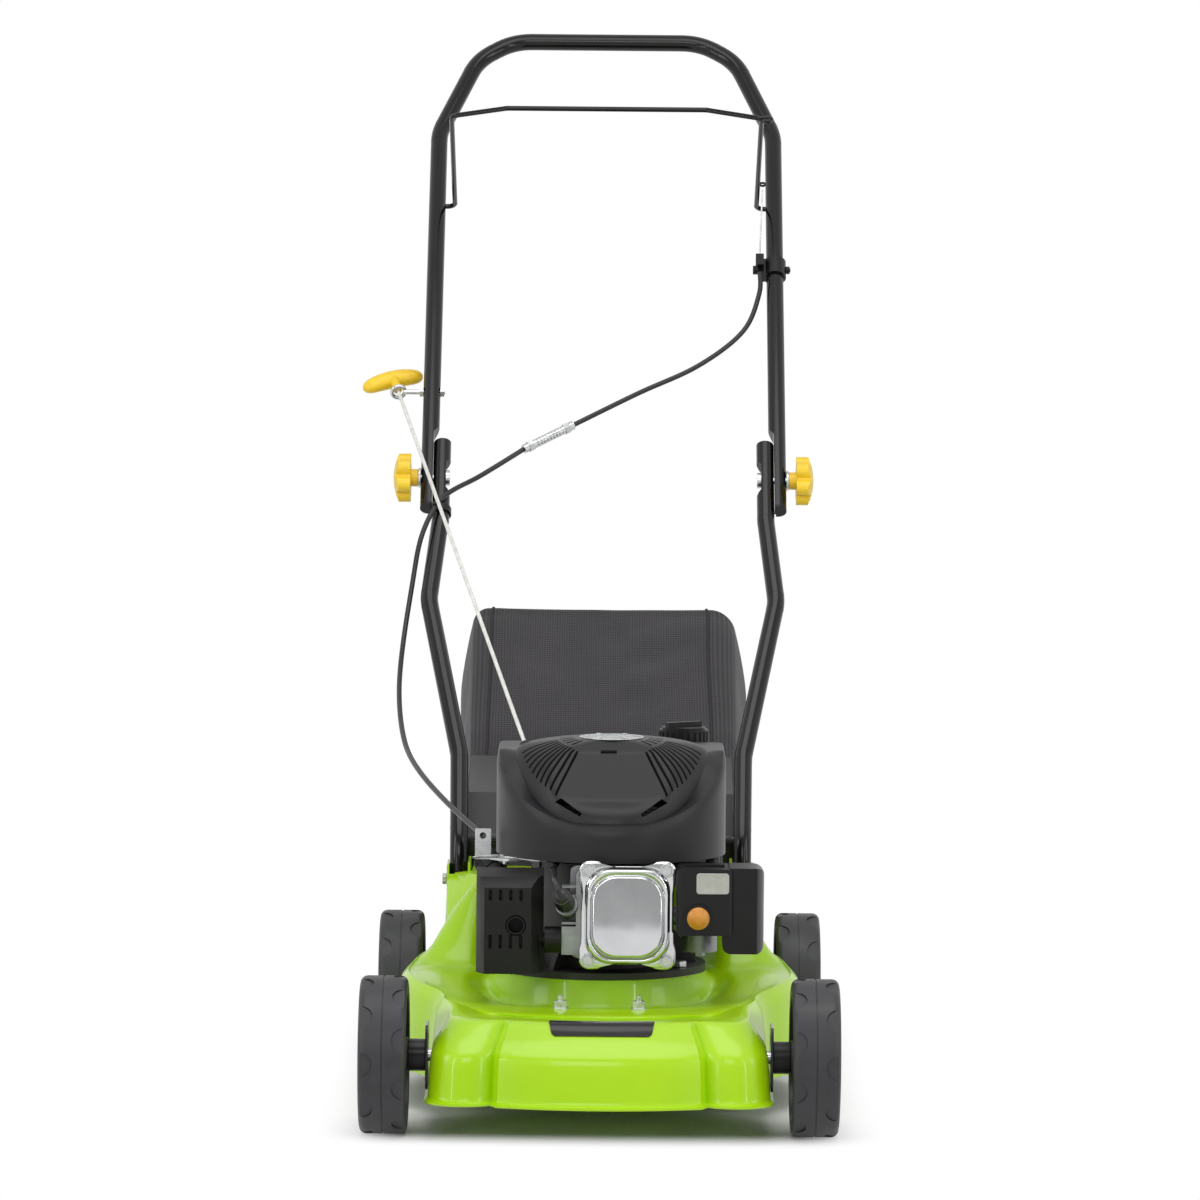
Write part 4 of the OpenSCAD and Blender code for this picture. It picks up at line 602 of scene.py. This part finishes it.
def makeDeckBolts():  # two through the front crest, three under the engine
    shanks, heads = [], []
    b = crestBolt
    for x in b["x"]:
        top = deckHeight(x, b["y"])
        shanks += [rod((x, b["y"], top + low), (x, b["y"], top + high), r)
                   for low, high, r in ((-13, 13, b["shank"]), (-0.2, 1.6, b["washer"]))]
        heads += [rod((x, b["y"], top + low), (x, b["y"], top + high), b["nut"], 6)
                  for low, high in ((1.4, 8), (-9, -2.4))]
    b = engineBolt
    for a in b["angles"]:
        x, y = turned(b["circle"], a)
        shanks.append(rod((x, y, 116.5), (x, y, 137), b["shank"]))
        heads += [rod((x, y, low), (x, y, high), b["nut"], 6) for low, high in ((136.2, 142), (119, 125.6))]
    for piece in shanks + heads:
        rounded(piece, 0.5, 2)
    return finish(joined(shanks + heads, "deckBolts"), zincPlate, "chassis", ["deck_bolts"])


makeDeck()
makeFrontPlate()
makeDeckBolts()
print("stage: deck")


shroud = {"x": 10, "radius": 115, "rear": 100, "wall": 3, "foot": 246, "crease": 97, "top": 361,
          "engine": 128, "posts": ((-96, 40), (116, 40), (112, -28))}
domeProfile = [(0, 0), (3, 0.22), (9, 0.44), (20, 0.66), (38, 0.87), (56, 0.97), (66, 1)]  # inset, rise
louvres = [{"count": 10, "first": 37, "step": 4.4, "reach": (56, 92), "half": 1.2, "depth": 80},
           {"count": 5, "first": 50, "step": 10, "reach": (38, 52), "half": 1.5, "depth": 30}]
wedgeSlot = ((56, 303), (50, 307), (29, 293), (31, 290))
domeFlat = {"reach": 46, "level": 350, "above": 1.44, "below": 0.7, "soft": 4}  # reach at a level, slopes
domeWall, corePost, ropeEye = 2.6, 7.9, {"outer": 7, "bore": 2.6, "in": 12, "out": 2, "slot": 4.5}


def shroudOutline():
    r, rear = shroud["radius"], shroud["rear"]
    half = [turned(r, a * 1.875 - 90) for a in range(49)]
    half += [(r, y) for y in (12, 24, 36, 48, 60, 72, 80, 88)]
    half += [(r - 12 + 12 * math.cos(math.radians(a)), rear - 12 + 12 * math.sin(math.radians(a)))
             for a in range(10, 90, 10)]
    half += [(x, rear) for x in (100, 88, 76, 64, 52, 40, 30, 20, 10, 0)]
    return half + [(-x, y) for x, y in reversed(half[1:-1])]


def creaseHeight(y):
    return shroud["engine"] + 155 + 65 * ease((y + shroud["crease"]) / shroud["crease"])


def bandTop(y):
    return min(shroud["engine"] + 212, shroud["engine"] + 143 + 0.6 * (y + 115))


def makeShroud():
    rings = []
    outline = shroudOutline()
    s = shroud
    for x, y in outline:
        far = math.hypot(x, y)
        ex, ey = x / far, y / far
        band, crease = bandTop(y), creaseHeight(ey * s["crease"])
        depth = far - s["crease"]
        outer = [(0, s["foot"]), (0, s["foot"] + 8), (0, band - 10), (0, band - 4), (0.3, band + 1),
                 (1.2, band + 5), (2.8, band + 8.5),
                 (mix(2.5, depth, 0.35), mix(band + 8, crease, 0.35) + 0.8),
                 (mix(2.5, depth, 0.7), mix(band + 8, crease, 0.7) + 0.6), (depth, crease)]
        inner = [(depth + s["wall"], crease - s["wall"] - 1), (s["wall"] + 1.5, band + 4),
                 (s["wall"], band - 4), (s["wall"], s["foot"])]
        rings.append([(s["x"] + ex * (far - d), ey * (far - d), z) for d, z in outer + inner])
    levels = [[ring[k] for ring in rings] for k in range(len(rings[0]))]
    piece = loft("engineCover", levels, closedWay=True)
    outwards(piece)
    posts = [rod((x, y, s["foot"]), (x, y, s["foot"] + 14), 7) for x, y in s["posts"]]
    piece = joined([piece] + posts, "engineCover")
    smoothShade(piece, 38)
    return finish(piece, greyNylon, "chassis", ["shroud"])


def domePoint(angle, inset, rise, drop=0):  # point on the dome, which has one flat face at the front
    ex, ey = turned(1, angle)
    z = mix(creaseHeight(ey * shroud["crease"]), shroud["top"], rise) + 0.2
    r = shroud["crease"] - inset
    if ey < -0.05:
        f = domeFlat
        limit = (f["reach"] - f["above" if z > f["level"] else "below"] * (z - f["level"])) / -ey
        limit += max(0, shroud["crease"] - limit) * max(0, 1 - inset / f["soft"])
        blend = max(0, f["soft"] - abs(r - limit)) / f["soft"]
        r = min(r, limit) - blend * blend * min(1, inset / f["soft"])
    return (shroud["x"] + ex * (r - drop), ey * (r - drop), z - drop)


def prism(corners, front, back):  # outline in X and Z, drawn out along Y, in mm
    return loft("prism", [[(x, y, z) for x, z in corners] for y in (front, back)], capped=True)


def makeRecoilCover():
    angles = [k * 1.25 for k in range(288)]
    fine = [(p.x, min(1, p.y)) for p in smoothRoute([(a, b, 0) for a, b in domeProfile], 7)]
    inner = [(67, 1)] + list(reversed(fine[3:-1:3]))
    rings = [[domePoint(a, inset, rise, domeWall) for a in angles] for inset, rise in inner]
    rings += [[domePoint(a, inset, rise) for a in angles] for inset, rise in fine]
    piece = loft("recoilDome", rings, capped=True)
    outwards(piece)
    x, top = shroud["x"], shroud["top"]
    slots = []
    for side in (-1, 1):
        for kind in louvres:
            (near, far), half = kind["reach"], kind["half"]
            for i in range(kind["count"]):
                slots.append(bar((x + near, -half, top - kind["depth"]), (x + far, half, top + 40),
                                 -90 + side * (kind["first"] + i * kind["step"]), (x, 0, 0)))
        wedge = prism([(x + side * px, pz) for px, pz in wedgeSlot], -110, -60)
        outwards(wedge)
        slots.append(wedge)
    slots.append(bar((x - 11, -60, 349), (x + 5, -40, 352)))
    eye = ropeEye
    slots.append(rod(ropeFrom - ropeWay * 30, ropeFrom + ropeWay * 30, eye["slot"]))
    cutAway(piece, slots)
    smoothShade(piece, 34)
    post = rod((x, 0, 309), (x, 0, top - 2), corePost)
    collar = rod(ropeFrom - ropeWay * eye["in"], ropeFrom + ropeWay * eye["out"], eye["outer"])
    cutAway(collar, [rod(ropeFrom - ropeWay * (eye["in"] + 1), ropeFrom + ropeWay * (eye["out"] + 1),
                         eye["bore"])])
    rounded(collar, 0.8)
    piece = joined([piece, post, collar], "recoilDome")
    return finish(piece, greyNylon, "chassis", ["recoil_cover"])


topPlate = {"radius": 32.5, "sheet": 1.4, "circle": 26, "head": 3, "rise": 1, "edge": 0.5}


def makeTopPlate():
    p = topPlate
    x, top = shroud["x"], shroud["top"]
    face = top + p["sheet"]
    pieces = [rod((x, 0, top), (x, 0, face), p["radius"], 96)]
    for a in range(0, 360, 60):
        px, py = turned(p["circle"], a)
        pieces.append(rod((x + px, py, face - 0.2), (x + px, py, face + p["rise"]), p["head"], 32))
    for piece in pieces:
        rounded(piece, p["edge"])
    piece = joined(pieces, "topPlate")
    return finish(piece, brushedSteel, "chassis")


makeShroud()
makeRecoilCover()
makeTopPlate()
print("stage: engine cover")


cover = {"x": 26.5, "z": 197.5, "back": -132.3, "width": 95, "height": 107, "boltX": 38.5, "boltZ": 44.5,
         "washer": 7, "nut": 5.4}


def roundRect(w, h, r):  # outline points in X and Z, with points along the sides too
    points = []
    for sx, sz, start in ((1, 1, 0), (-1, 1, 90), (-1, -1, 180), (1, -1, 270)):
        for k in range(9):
            x, z = turned(r, start + k * 11.25)
            points.append((sx * (w / 2 - r) + x, sz * (h / 2 - r) + z))
        ax, az = points[-1]
        bx, bz = {0: (-w / 2 + r, h / 2), 90: (-w / 2, -h / 2 + r), 180: (w / 2 - r, -h / 2),
                  270: (w / 2, h / 2 - r)}[start]
        points += [(mix(ax, bx, k / 16), mix(az, bz, k / 16)) for k in range(1, 16)]
    return points


def faceLoft(name, levels, x, y, z):  # levels of (x, z, how far forward) about a place on a front face
    piece = loft(name, [[(x + px, y - e, z + pz) for px, pz, e in level] for level in levels], capped=True)
    outwards(piece)
    return piece


def flangeLevel(inset, e):
    level = []
    w, h = cover["width"], cover["height"]
    for x, z in roundRect(w - 2 * inset, h - 2 * inset, 10 - inset):
        if abs(z) > h / 2 - 8:
            z -= math.copysign(5 * ease((30 - abs(x)) / 9), z)
        if abs(x) > w / 2 - 8:
            x -= math.copysign(2 * ease((34 - abs(z)) / 9), x)
        level.append((x, z, e))
    return level


def panelRise(z):
    t = z / 78.6 + 0.5
    return 18.4 - 1.36 * t - 4.09 * t * t


def makeValveCover():
    x, y, z = cover["x"], cover["back"], cover["z"]
    levels = [flangeLevel(0, 0), flangeLevel(0, 3.4), flangeLevel(0.35, 4.1), flangeLevel(1.2, 4.6)]
    body = [(84, 4.7), (83.4, 5.6), (82, 9), (80.5, 12.8), (79.3, 14.3), (77.5, 14.9), (74.6, 14.8),
            (72.8, 14.2), (71.6, 12.8), (70.8, 12.2), (69.6, 12.0)]  # width, how far forward
    levels += [[(px, pz, e) for px, pz in roundRect(w, w + 12, 24)] for w, e in body]
    for inset, drop in ((0, 1.6), (0.5, 0.5), (1.4, 0.1), (2.6, 0), (9, 0), (18, 0), (25, 0), (31, 0)):
        r = max(1.5, 24 - inset)
        levels.append([(px, pz, max(12.1, panelRise(pz) - drop)) for px, pz in
                       roundRect(68.2 - 2 * inset, 80.2 - 2 * inset, r)])
    piece = faceLoft("valveCoverPress", levels, x, y, z)
    smoothShade(piece, 40)
    finish(piece, brightAlloy, "chassis", ["valve_cover"])
    heads = []
    for sx in (-1, 1):
        for sz in (-1, 1):
            px, pz = x + sx * cover["boltX"], z + sz * cover["boltZ"]
            washer = rod((px, y - 4.4, pz), (px, y - 5.8, pz), cover["washer"])
            rounded(washer, 0.3, 2)
            head = rod((px, y - 5.6, pz), (px, y - 10.2, pz), cover["nut"], 6)
            rounded(head, 0.5, 2)
            heads += [washer, head]
    return finish(joined(heads, "coverBolts"), zincPlate, "chassis")


airBoxFace = (110, -150, 231)


def makeAirBoxPlate():
    rings = [(32, 20.5, 3, -0.4), (32, 20.5, 3, 0.5), (31.4, 19.9, 2.8, 0.8), (29, 17.5, 2, 0.8),
             (27.8, 16.3, 1.8, 0.6), (12, 6, 1.5, 0.6)]  # width, height, corner, how far forward
    levels = [[(px, pz, e) for px, pz in roundRect(w, h, r)] for w, h, r, e in rings]
    piece = faceLoft("airBoxPlate", levels, *airBoxFace)
    smoothShade(piece, 40)
    return finish(piece, palePlate, "chassis")


grip = {"out": 33.5, "half": 33.6, "drop": 7, "arch": 4.5, "middle": 10.3, "end": 7.4, "seat": 3}


def makeGrip():
    g = grip
    right = ropeWay.cross(Vector((0, 0, 1))).normalized()
    centre = guidePoint + ropeWay * g["out"]
    rings = []
    for i in range(41):
        s = math.sin(math.pi * (i / 40 - 0.5))
        reach = min(1, abs(s))
        r = mix(g["middle"], g["end"], s * s) * math.sqrt(max(0.0004, 1 - reach ** 9))
        at = centre + right * (g["half"] * s) + Vector((0, 0, g["drop"] * (s - 1) + g["arch"] * (1 - s * s)))
        along = (right * g["half"] + Vector((0, 0, g["drop"] - 2 * g["arch"] * s))).normalized()
        side = along.cross(ropeWay).normalized()
        lift = side.cross(along)
        rings.append([at + side * (r * 0.92 * math.cos(a)) + lift * (r * 1.06 * math.sin(a))
                      for a in (math.radians(11.25 * k) for k in range(32))])
    bow = loft("starterHandle", rings, capped=True)
    outwards(bow)
    stem = []
    for f, r in ((0, 3.6), (0.04, 4.6), (0.5, 5.2), (0.85, 6.4), (1, 7.4)):
        at = guidePoint + ropeWay * mix(g["seat"], g["out"], f)
        side = right
        lift = side.cross(ropeWay)
        stem.append([at + side * (r * math.cos(a)) + lift * (r * math.sin(a))
                     for a in (math.radians(11.25 * k) for k in range(32))])
    neck = loft("starterNeck", stem, capped=True)
    outwards(neck)
    piece = joined([bow, neck], "starterHandle")
    smoothShade(piece, 50)
    return finish(piece, yellowAbs, nodes["starter_grip"]["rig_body"], ["starter_grip"])


makeValveCover()
makeAirBoxPlate()
makeGrip()
print("stage: cover, plate and grip")


bag = {"front": 343, "width": 320, "length": 345, "rim": 40, "hinge": 224, "mouth": 272, "sag": 7,
       "cloth": 1.2, "around": 200, "along": 8}


def bagStations():  # along Y: place, width, low and high Z, corner radius
    y, w, rim, hinge, mouth, length = (bag[k] for k in ("front", "width", "rim", "hinge", "mouth", "length"))
    return [(y, mouth, rim + 62, hinge - 9, 12), (y + 14, mouth + 6, rim + 60, hinge + 10, 14),
            (y + 30, w - 24, rim + 58, hinge + 20, 20), (y + 130, w - 8, rim + 57, hinge + 52, 28),
            (y + 175, w, rim + 57, hinge + 100, 34), (y + length - 90, w, rim + 59, hinge + 168, 40),
            (y + length - 22, w, rim + 66, hinge + 218, 40),
            (y + length - 6, w - 8, rim + 78, hinge + 219, 38),
            (y + length, w - 30, rim + 96, hinge + 205, 26)]


def bagPoint(station, u):  # u runs once round the section from the middle of the top
    y, w, z0, z1, r = station
    radii = [r * 0.5, r, r, r * 0.32]
    right, left = w / 2, -w / 2
    corners = [(right - radii[0], z1 - radii[0], 90), (right - r, z0 + r, 0), (left + r, z0 + r, -90),
               (left + radii[3], z1 - radii[3], 180)]
    share = [0.36, 0.14, 0.36, 0.14]  # of the points, straight edges and then corners
    spans = []
    for k in range(4):
        spans += [("edge", k, share[k] * 0.72), ("corner", k, 0.07)]
    at = (u + spans[0][2] / 2) % 1.0
    for kind, k, length in spans:
        if at < length:
            f = at / length
            break
        at -= length
    else:
        f = 1.0
    last = corners[k - 1]
    here = corners[k]
    if kind == "corner":
        x, z = turned(radii[k], here[2] - 90 * f)
        return Vector((here[0] + x, y, here[1] + z)), kind, k, f
    x, z = turned(radii[k], here[2])
    end = Vector((here[0] + x, y, here[1] + z))
    x, z = turned(radii[k - 1], last[2] - 90)
    start = Vector((last[0] + x, y, last[1] + z))
    return start.lerp(end, f), kind, k, f


def makeBag():
    around, stations = bag["around"], bagStations()
    fine = []
    for i in range(len(stations) - 1):
        steps = bag["along"] if i < 7 else 3
        for k in range(steps):
            f = k / steps
            a, b, c, d = (stations[max(0, min(len(stations) - 1, j))] for j in (i - 1, i, i + 1, i + 2))
            straight = [mix(b[n], c[n], f) for n in range(5)]
            curved = [mix(straight[n], curveValue(a[n], b[n], c[n], d[n], f), 0.7) for n in range(1, 5)]
            fine.append(straight[:1] + curved)
    fine.append(stations[-1])
    rings = []
    for station in fine:
        ring = []
        t = (station[0] - bag["front"]) / bag["length"]
        for j in range(around):
            p, kind, k, f = bagPoint(station, j / around)
            middle = math.sin(math.pi * f) if kind == "edge" else 0
            body = ease(t / 0.12) * ease((1 - t) / 0.16)
            top = station[3]
            slant = ease((t - 0.2) / 0.3) * max(0, (p.z - top + 92) / 92) ** 1.4
            p.x += slant * ((-20 if p.x > 0 else 18) * min(1, abs(p.x) / 120)) + 2 * ease(t / 0.3)
            fold = noise.noise(Vector((p.x * 0.018, t * 5.5, k * 3.1)))
            ripple = math.sin(p.x * 0.05 + t * 31 + 3 * fold) * (0.5 + 0.5 * fold)
            if kind == "edge" and k == 0:
                rightSide = ease((p.x + 20) / 120)
                seam = (p.x + 100 - 89 * (0.8 - t)) / 5
                p.z -= body * (bag["sag"] * middle * (0.55 + 0.45 * math.sin(t * 9)) + 1.6 * middle * ripple
                               + 2.6 * rightSide * middle * math.sin(t * 46 - p.x * 0.045)
                               - 2 * math.exp(-seam * seam))
            elif kind == "edge" and k == 2:
                p.z += body * (2 + 1.5 * ripple) * middle
            elif kind == "edge":
                inward = -1 if p.x > 0 else 1
                p.x += inward * body * middle * (6 + 2.5 * ripple + 1.5 * math.sin(t * 22 + p.z * 0.03))
            ring.append(p)
        rings.append(ring)
    piece = loft("bagCloth", rings)
    mesh = piece.data
    weave = mesh.uv_layers.new(name="weaveMap")
    girth = [0.0]
    for k in range(around):
        girth.append(girth[-1] + (rings[20][(k + 1) % around] - rings[20][k]).length)
    depth = [0.0]
    for a, b in zip(rings, rings[1:]):
        depth.append(depth[-1] + (b[0] - a[0]).length)
    for face in mesh.polygons:
        i, k = divmod(face.index, around)
        uv = [(girth[k], depth[i]), (girth[k + 1], depth[i]), (girth[k + 1], depth[i + 1]),
              (girth[k], depth[i + 1])]
        for loop, (u, v) in zip(face.loop_indices, uv):
            weave.data[loop].uv = (u * mm, v * mm)
        kind, which, f = bagPoint(stations[0], k / around)[1:]
        sleeve = kind == "corner" or which in (1, 3) or (which == 0 and not 0.03 <= f <= 0.97)
        face.material_index = 2 if i >= len(rings) - 7 else int(sleeve)
    # the rear is closed with rings that shrink towards its middle
    focus(piece)
    bpy.ops.object.mode_set(mode="EDIT")
    bpy.ops.mesh.select_all(action="DESELECT")
    bpy.ops.object.mode_set(mode="OBJECT")
    last = len(mesh.vertices) - around
    for vertex in mesh.vertices:
        vertex.select = vertex.index >= last
    bpy.ops.object.mode_set(mode="EDIT")
    bpy.ops.mesh.select_mode(type="VERT")
    for step in (0.82, 0.7, 0.5, 0.2):
        bpy.ops.mesh.extrude_region_move()
        middle = Vector((0, bag["front"] + bag["length"], 276)) * mm
        bpy.ops.transform.resize(value=(step, 1, step), center_override=middle)
    bpy.ops.mesh.merge(type="CENTER")
    bpy.ops.object.mode_set(mode="OBJECT")
    outwards(piece)
    applyModifier(piece, "SOLIDIFY", thickness=bag["cloth"] * mm, offset=-1)
    smoothShade(piece, 60)
    finish(piece, [bagMesh, sleeveCloth, hemTape], "bag", ["grass_bag"])
    return piece, rings


bagPiece, bagRings = makeBag()


def seam(name, share, radius=1.5, lift=0.3):  # piping along the bag, at a share of the way round its section
    k = round(share * bag["around"])
    points = [ring[k] + Vector((0, 0, lift)) for ring in bagRings[8:-6]]
    focus(curvePiece(name, "POLY", points, radius, 2)[0])
    bpy.ops.object.convert(target="MESH")
    smoothShade(bpy.context.object, 60)
    finish(bpy.context.object, sleevePiping, "bag")


seam("seamRight", 0.124)
seam("seamLeft", 0.876)
print("stage: grass bag")


wheel = {"edge": 0.9, "treadFrom": 60.5}  # tread starts at this radius


def makeWheel(node, axleY):
    piece = softened(node, wheel["edge"])
    finish(piece, [wheelPlastic, tyreRubber], nodes[node]["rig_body"], [node])
    for face in piece.data.polygons:
        far = math.hypot(face.center.y - axleY * mm, face.center.z - axleHeight * mm)
        face.material_index = 1 if far > wheel["treadFrom"] * mm else 0


for end, axleY in zip(("front", "rear"), axlePlaces):
    for side in ("left", "right"):
        makeWheel("wheel_" + end + "_" + side, axleY)
print("stage: wheels")


finishes = {
    "deck_baffles": (blackPaint, 0), "rear_plate": (blackPaint, 0.4), "handle_brackets": (limeEnamel, 0.6),
    "height_brackets": (blackPaint, 0.6), "front_axle": (zincPlate, 0.8), "rear_axle": (zincPlate, 0.8),
    "axle_spacers": (blackPlastic, 0.8), "axle_nuts": (zincPlate, 0.5),
    "lower_handle_left": (blackPaint, 0), "lower_handle_right": (blackPaint, 0),
    "upper_handle": (blackPaint, 0), "handle_bolts": (zincPlate, 0.5),
    "tube_plugs_lower": (blackPlastic, 0), "tube_plugs_upper": (blackPlastic, 0),
    "knob_left": (yellowAbs, 1.0), "knob_right": (yellowAbs, 1.0), "bail_lever": (blackPaint, 0),
    "rope_guide": (zincPlate, 0), "cable_bracket": (blackPlastic, 0.7),
    "cable_adjuster": (zincPlate, 0), "cable_clip": (blackPlastic, 0.5), "brake_bracket": (zincPlate, 0.4),
    "brake_lever": (zincPlate, 0.4), "crankcase": (darkCasting, 1.0), "cylinder_block": (castAlloy, 0.4),
    "cylinder_head": (castAlloy, 0.4), "spark_plug": (zincPlate, 0),
    "ignition_lead": (blackPvc, 0), "muffler": (heatPaint, 0.8), "muffler_guard": (heatPaint, 0.8),
    "carburettor": (castAlloy, 0.7), "air_filter_box": (blackPlastic, 1.4), "primer_bulb": (orangeRubber, 0),
    "fuel_tank": (blackPlastic, 0), "fuel_cap": (blackPlastic, 0.8), "recoil_pulley": (blackPlastic, 0.5),
    "crankshaft": (groundSteel, 0.5), "flywheel": (castAlloy, 0.5), "blade_adapter": (castAlloy, 0.8),
    "blade": (blackPaint, 0.4), "blade_bolt": (zincPlate, 0.4),
    "dipstick": (blackPlastic, 0.6), "rear_flap": (flapPlastic, 0.7), "flap_rod": (zincPlate, 0.5),
    "bag_frame": (zincPlate, 0),
}
for node, (material, edge) in finishes.items():
    skin(node, material, edge)
print("stage: skins")


def glimpse(tree):  # 1 where the camera, a reflection or a clear piece looks straight at the backdrop
    path = addNode(tree, "LightPath")
    direct, clear, glossy = (path.outputs["Is " + k + " Ray"] for k in ("Camera", "Transmission", "Glossy"))
    return addNode(tree, "Math", {"operation": "MAXIMUM"}, [direct, clear]).outputs["Value"], glossy


ground = {"middle": 0.15, "half": (0.18, 0.41, 0), "fade": 0.1}  # the mower's own ground area, in metres


def makeFloor():
    deselect()
    bpy.ops.mesh.primitive_plane_add(size=60, location=(0, 0, 0))
    floor = bpy.context.object
    floor.name = "paleFloor"
    material = bpy.data.materials.new("paleFloor")
    material.use_nodes = True
    tree = material.node_tree
    shader = tree.nodes["Principled BSDF"]
    shader.inputs["Base Color"].default_value = (0.88, 0.88, 0.88, 1)
    shader.inputs["Roughness"].default_value = 0.7
    shader.inputs["Specular IOR Level"].default_value = 0.2
    glow = addNode(tree, "Emission", {"Color": (1, 1, 1, 1), "Strength": 1.0})
    seen, glossy = glimpse(tree)
    either = addNode(tree, "Math", {"operation": "MAXIMUM"}, [seen, glossy])
    place = addNode(tree, "TexCoord").outputs["Object"]
    # whiter with the distance from the mower's own ground area
    centred = addNode(tree, "Mapping", {"Location": (0, -ground["middle"], 0)}, Vector=place)
    folded = addNode(tree, "VectorMath", {"operation": "ABSOLUTE"}, Vector=centred.outputs["Vector"])
    beyond = addNode(tree, "VectorMath", {"operation": "SUBTRACT"}, [folded.outputs["Vector"]])
    beyond.inputs[1].default_value = ground["half"]
    kept = addNode(tree, "VectorMath", {"operation": "MAXIMUM"}, [beyond.outputs["Vector"]])
    away = addNode(tree, "VectorMath", {"operation": "LENGTH"}, [kept.outputs["Vector"]])
    fade = addNode(tree, "MapRange", {"interpolation_type": "SMOOTHSTEP", "From Min": 0.0,
                                      "From Max": ground["fade"], "To Min": 0.0, "To Max": 1.0},
                   Value=away.outputs["Value"])
    share = addNode(tree, "Math", {"operation": "MULTIPLY"},
                    [either.outputs["Value"], fade.outputs["Result"]])
    both = addNode(tree, "MixShader", None, [share.outputs["Value"], shader.outputs["BSDF"],
                                             glow.outputs["Emission"]])
    tree.links.new(both.outputs["Shader"], tree.nodes["Material Output"].inputs["Surface"])
    floor.data.materials.append(material)


def areaLight(name, place, aim, size, power):
    data = bpy.data.lights.new(name, "AREA")
    data.shape = "RECTANGLE"
    data.size, data.size_y = size
    data.energy = power
    lamp = bpy.data.objects.new(name, data)
    lamp.location = place
    lamp.rotation_euler = (Vector(place) - Vector(aim)).to_track_quat("Z", "Y").to_euler()
    bpy.context.scene.collection.objects.link(lamp)


makeFloor()
lamps = {
    "topBox": {"place": (0, -0.7, 3.0), "aim": (0, 0.1, 0.4), "size": (2.4, 1.8), "power": 33},
    "leftBox": {"place": (-2.6, -1.2, 1.5), "aim": (0, 0.1, 0.5), "size": (0.9, 1.8), "power": 17},
    "rightBox": {"place": (2.6, -1.2, 1.5), "aim": (0, 0.1, 0.5), "size": (0.9, 1.8), "power": 14},
    "leftStrip": {"place": (-1.7, -2.2, 1.2), "aim": (0, 0.3, 0.7), "size": (0.1, 2.0), "power": 8},
    "rightStrip": {"place": (1.7, -2.2, 1.2), "aim": (0, 0.3, 0.7), "size": (0.1, 2.0), "power": 8},
    "frontBox": {"place": (-0.4, -4.4, 2.6), "aim": (0, 0, 0.3), "size": (2.2, 1.4), "power": 33},
}
for name, spec in lamps.items():
    areaLight(name, **spec)

world = bpy.data.worlds.new("studio")
bpy.context.scene.world = world
world.use_nodes = True
tree = world.node_tree
sky = tree.nodes["Background"]
sky.inputs["Color"].default_value = (1, 1, 1, 1)
seen, glossy = glimpse(tree)
direction = addNode(tree, "SeparateXYZ", Vector=addNode(tree, "TexCoord").outputs["Generated"])
# the room behind the camera is darker than the white wall behind the mower
room = addNode(tree, "MapRange", {"interpolation_type": "SMOOTHSTEP", "From Min": -0.8, "From Max": 0.1,
                                  "To Min": 0.5, "To Max": 1.0}, Value=direction.outputs["Y"])
mirrored = addNode(tree, "Mix", {"A": 0.34}, Factor=glossy, B=room.outputs["Result"])
level = addNode(tree, "Mix", {"B": 1.0}, Factor=seen, A=mirrored.outputs["Result"])
tree.links.new(level.outputs["Result"], sky.inputs["Strength"])
bpy.context.scene.view_settings.view_transform = "Standard"

print("stage: done")
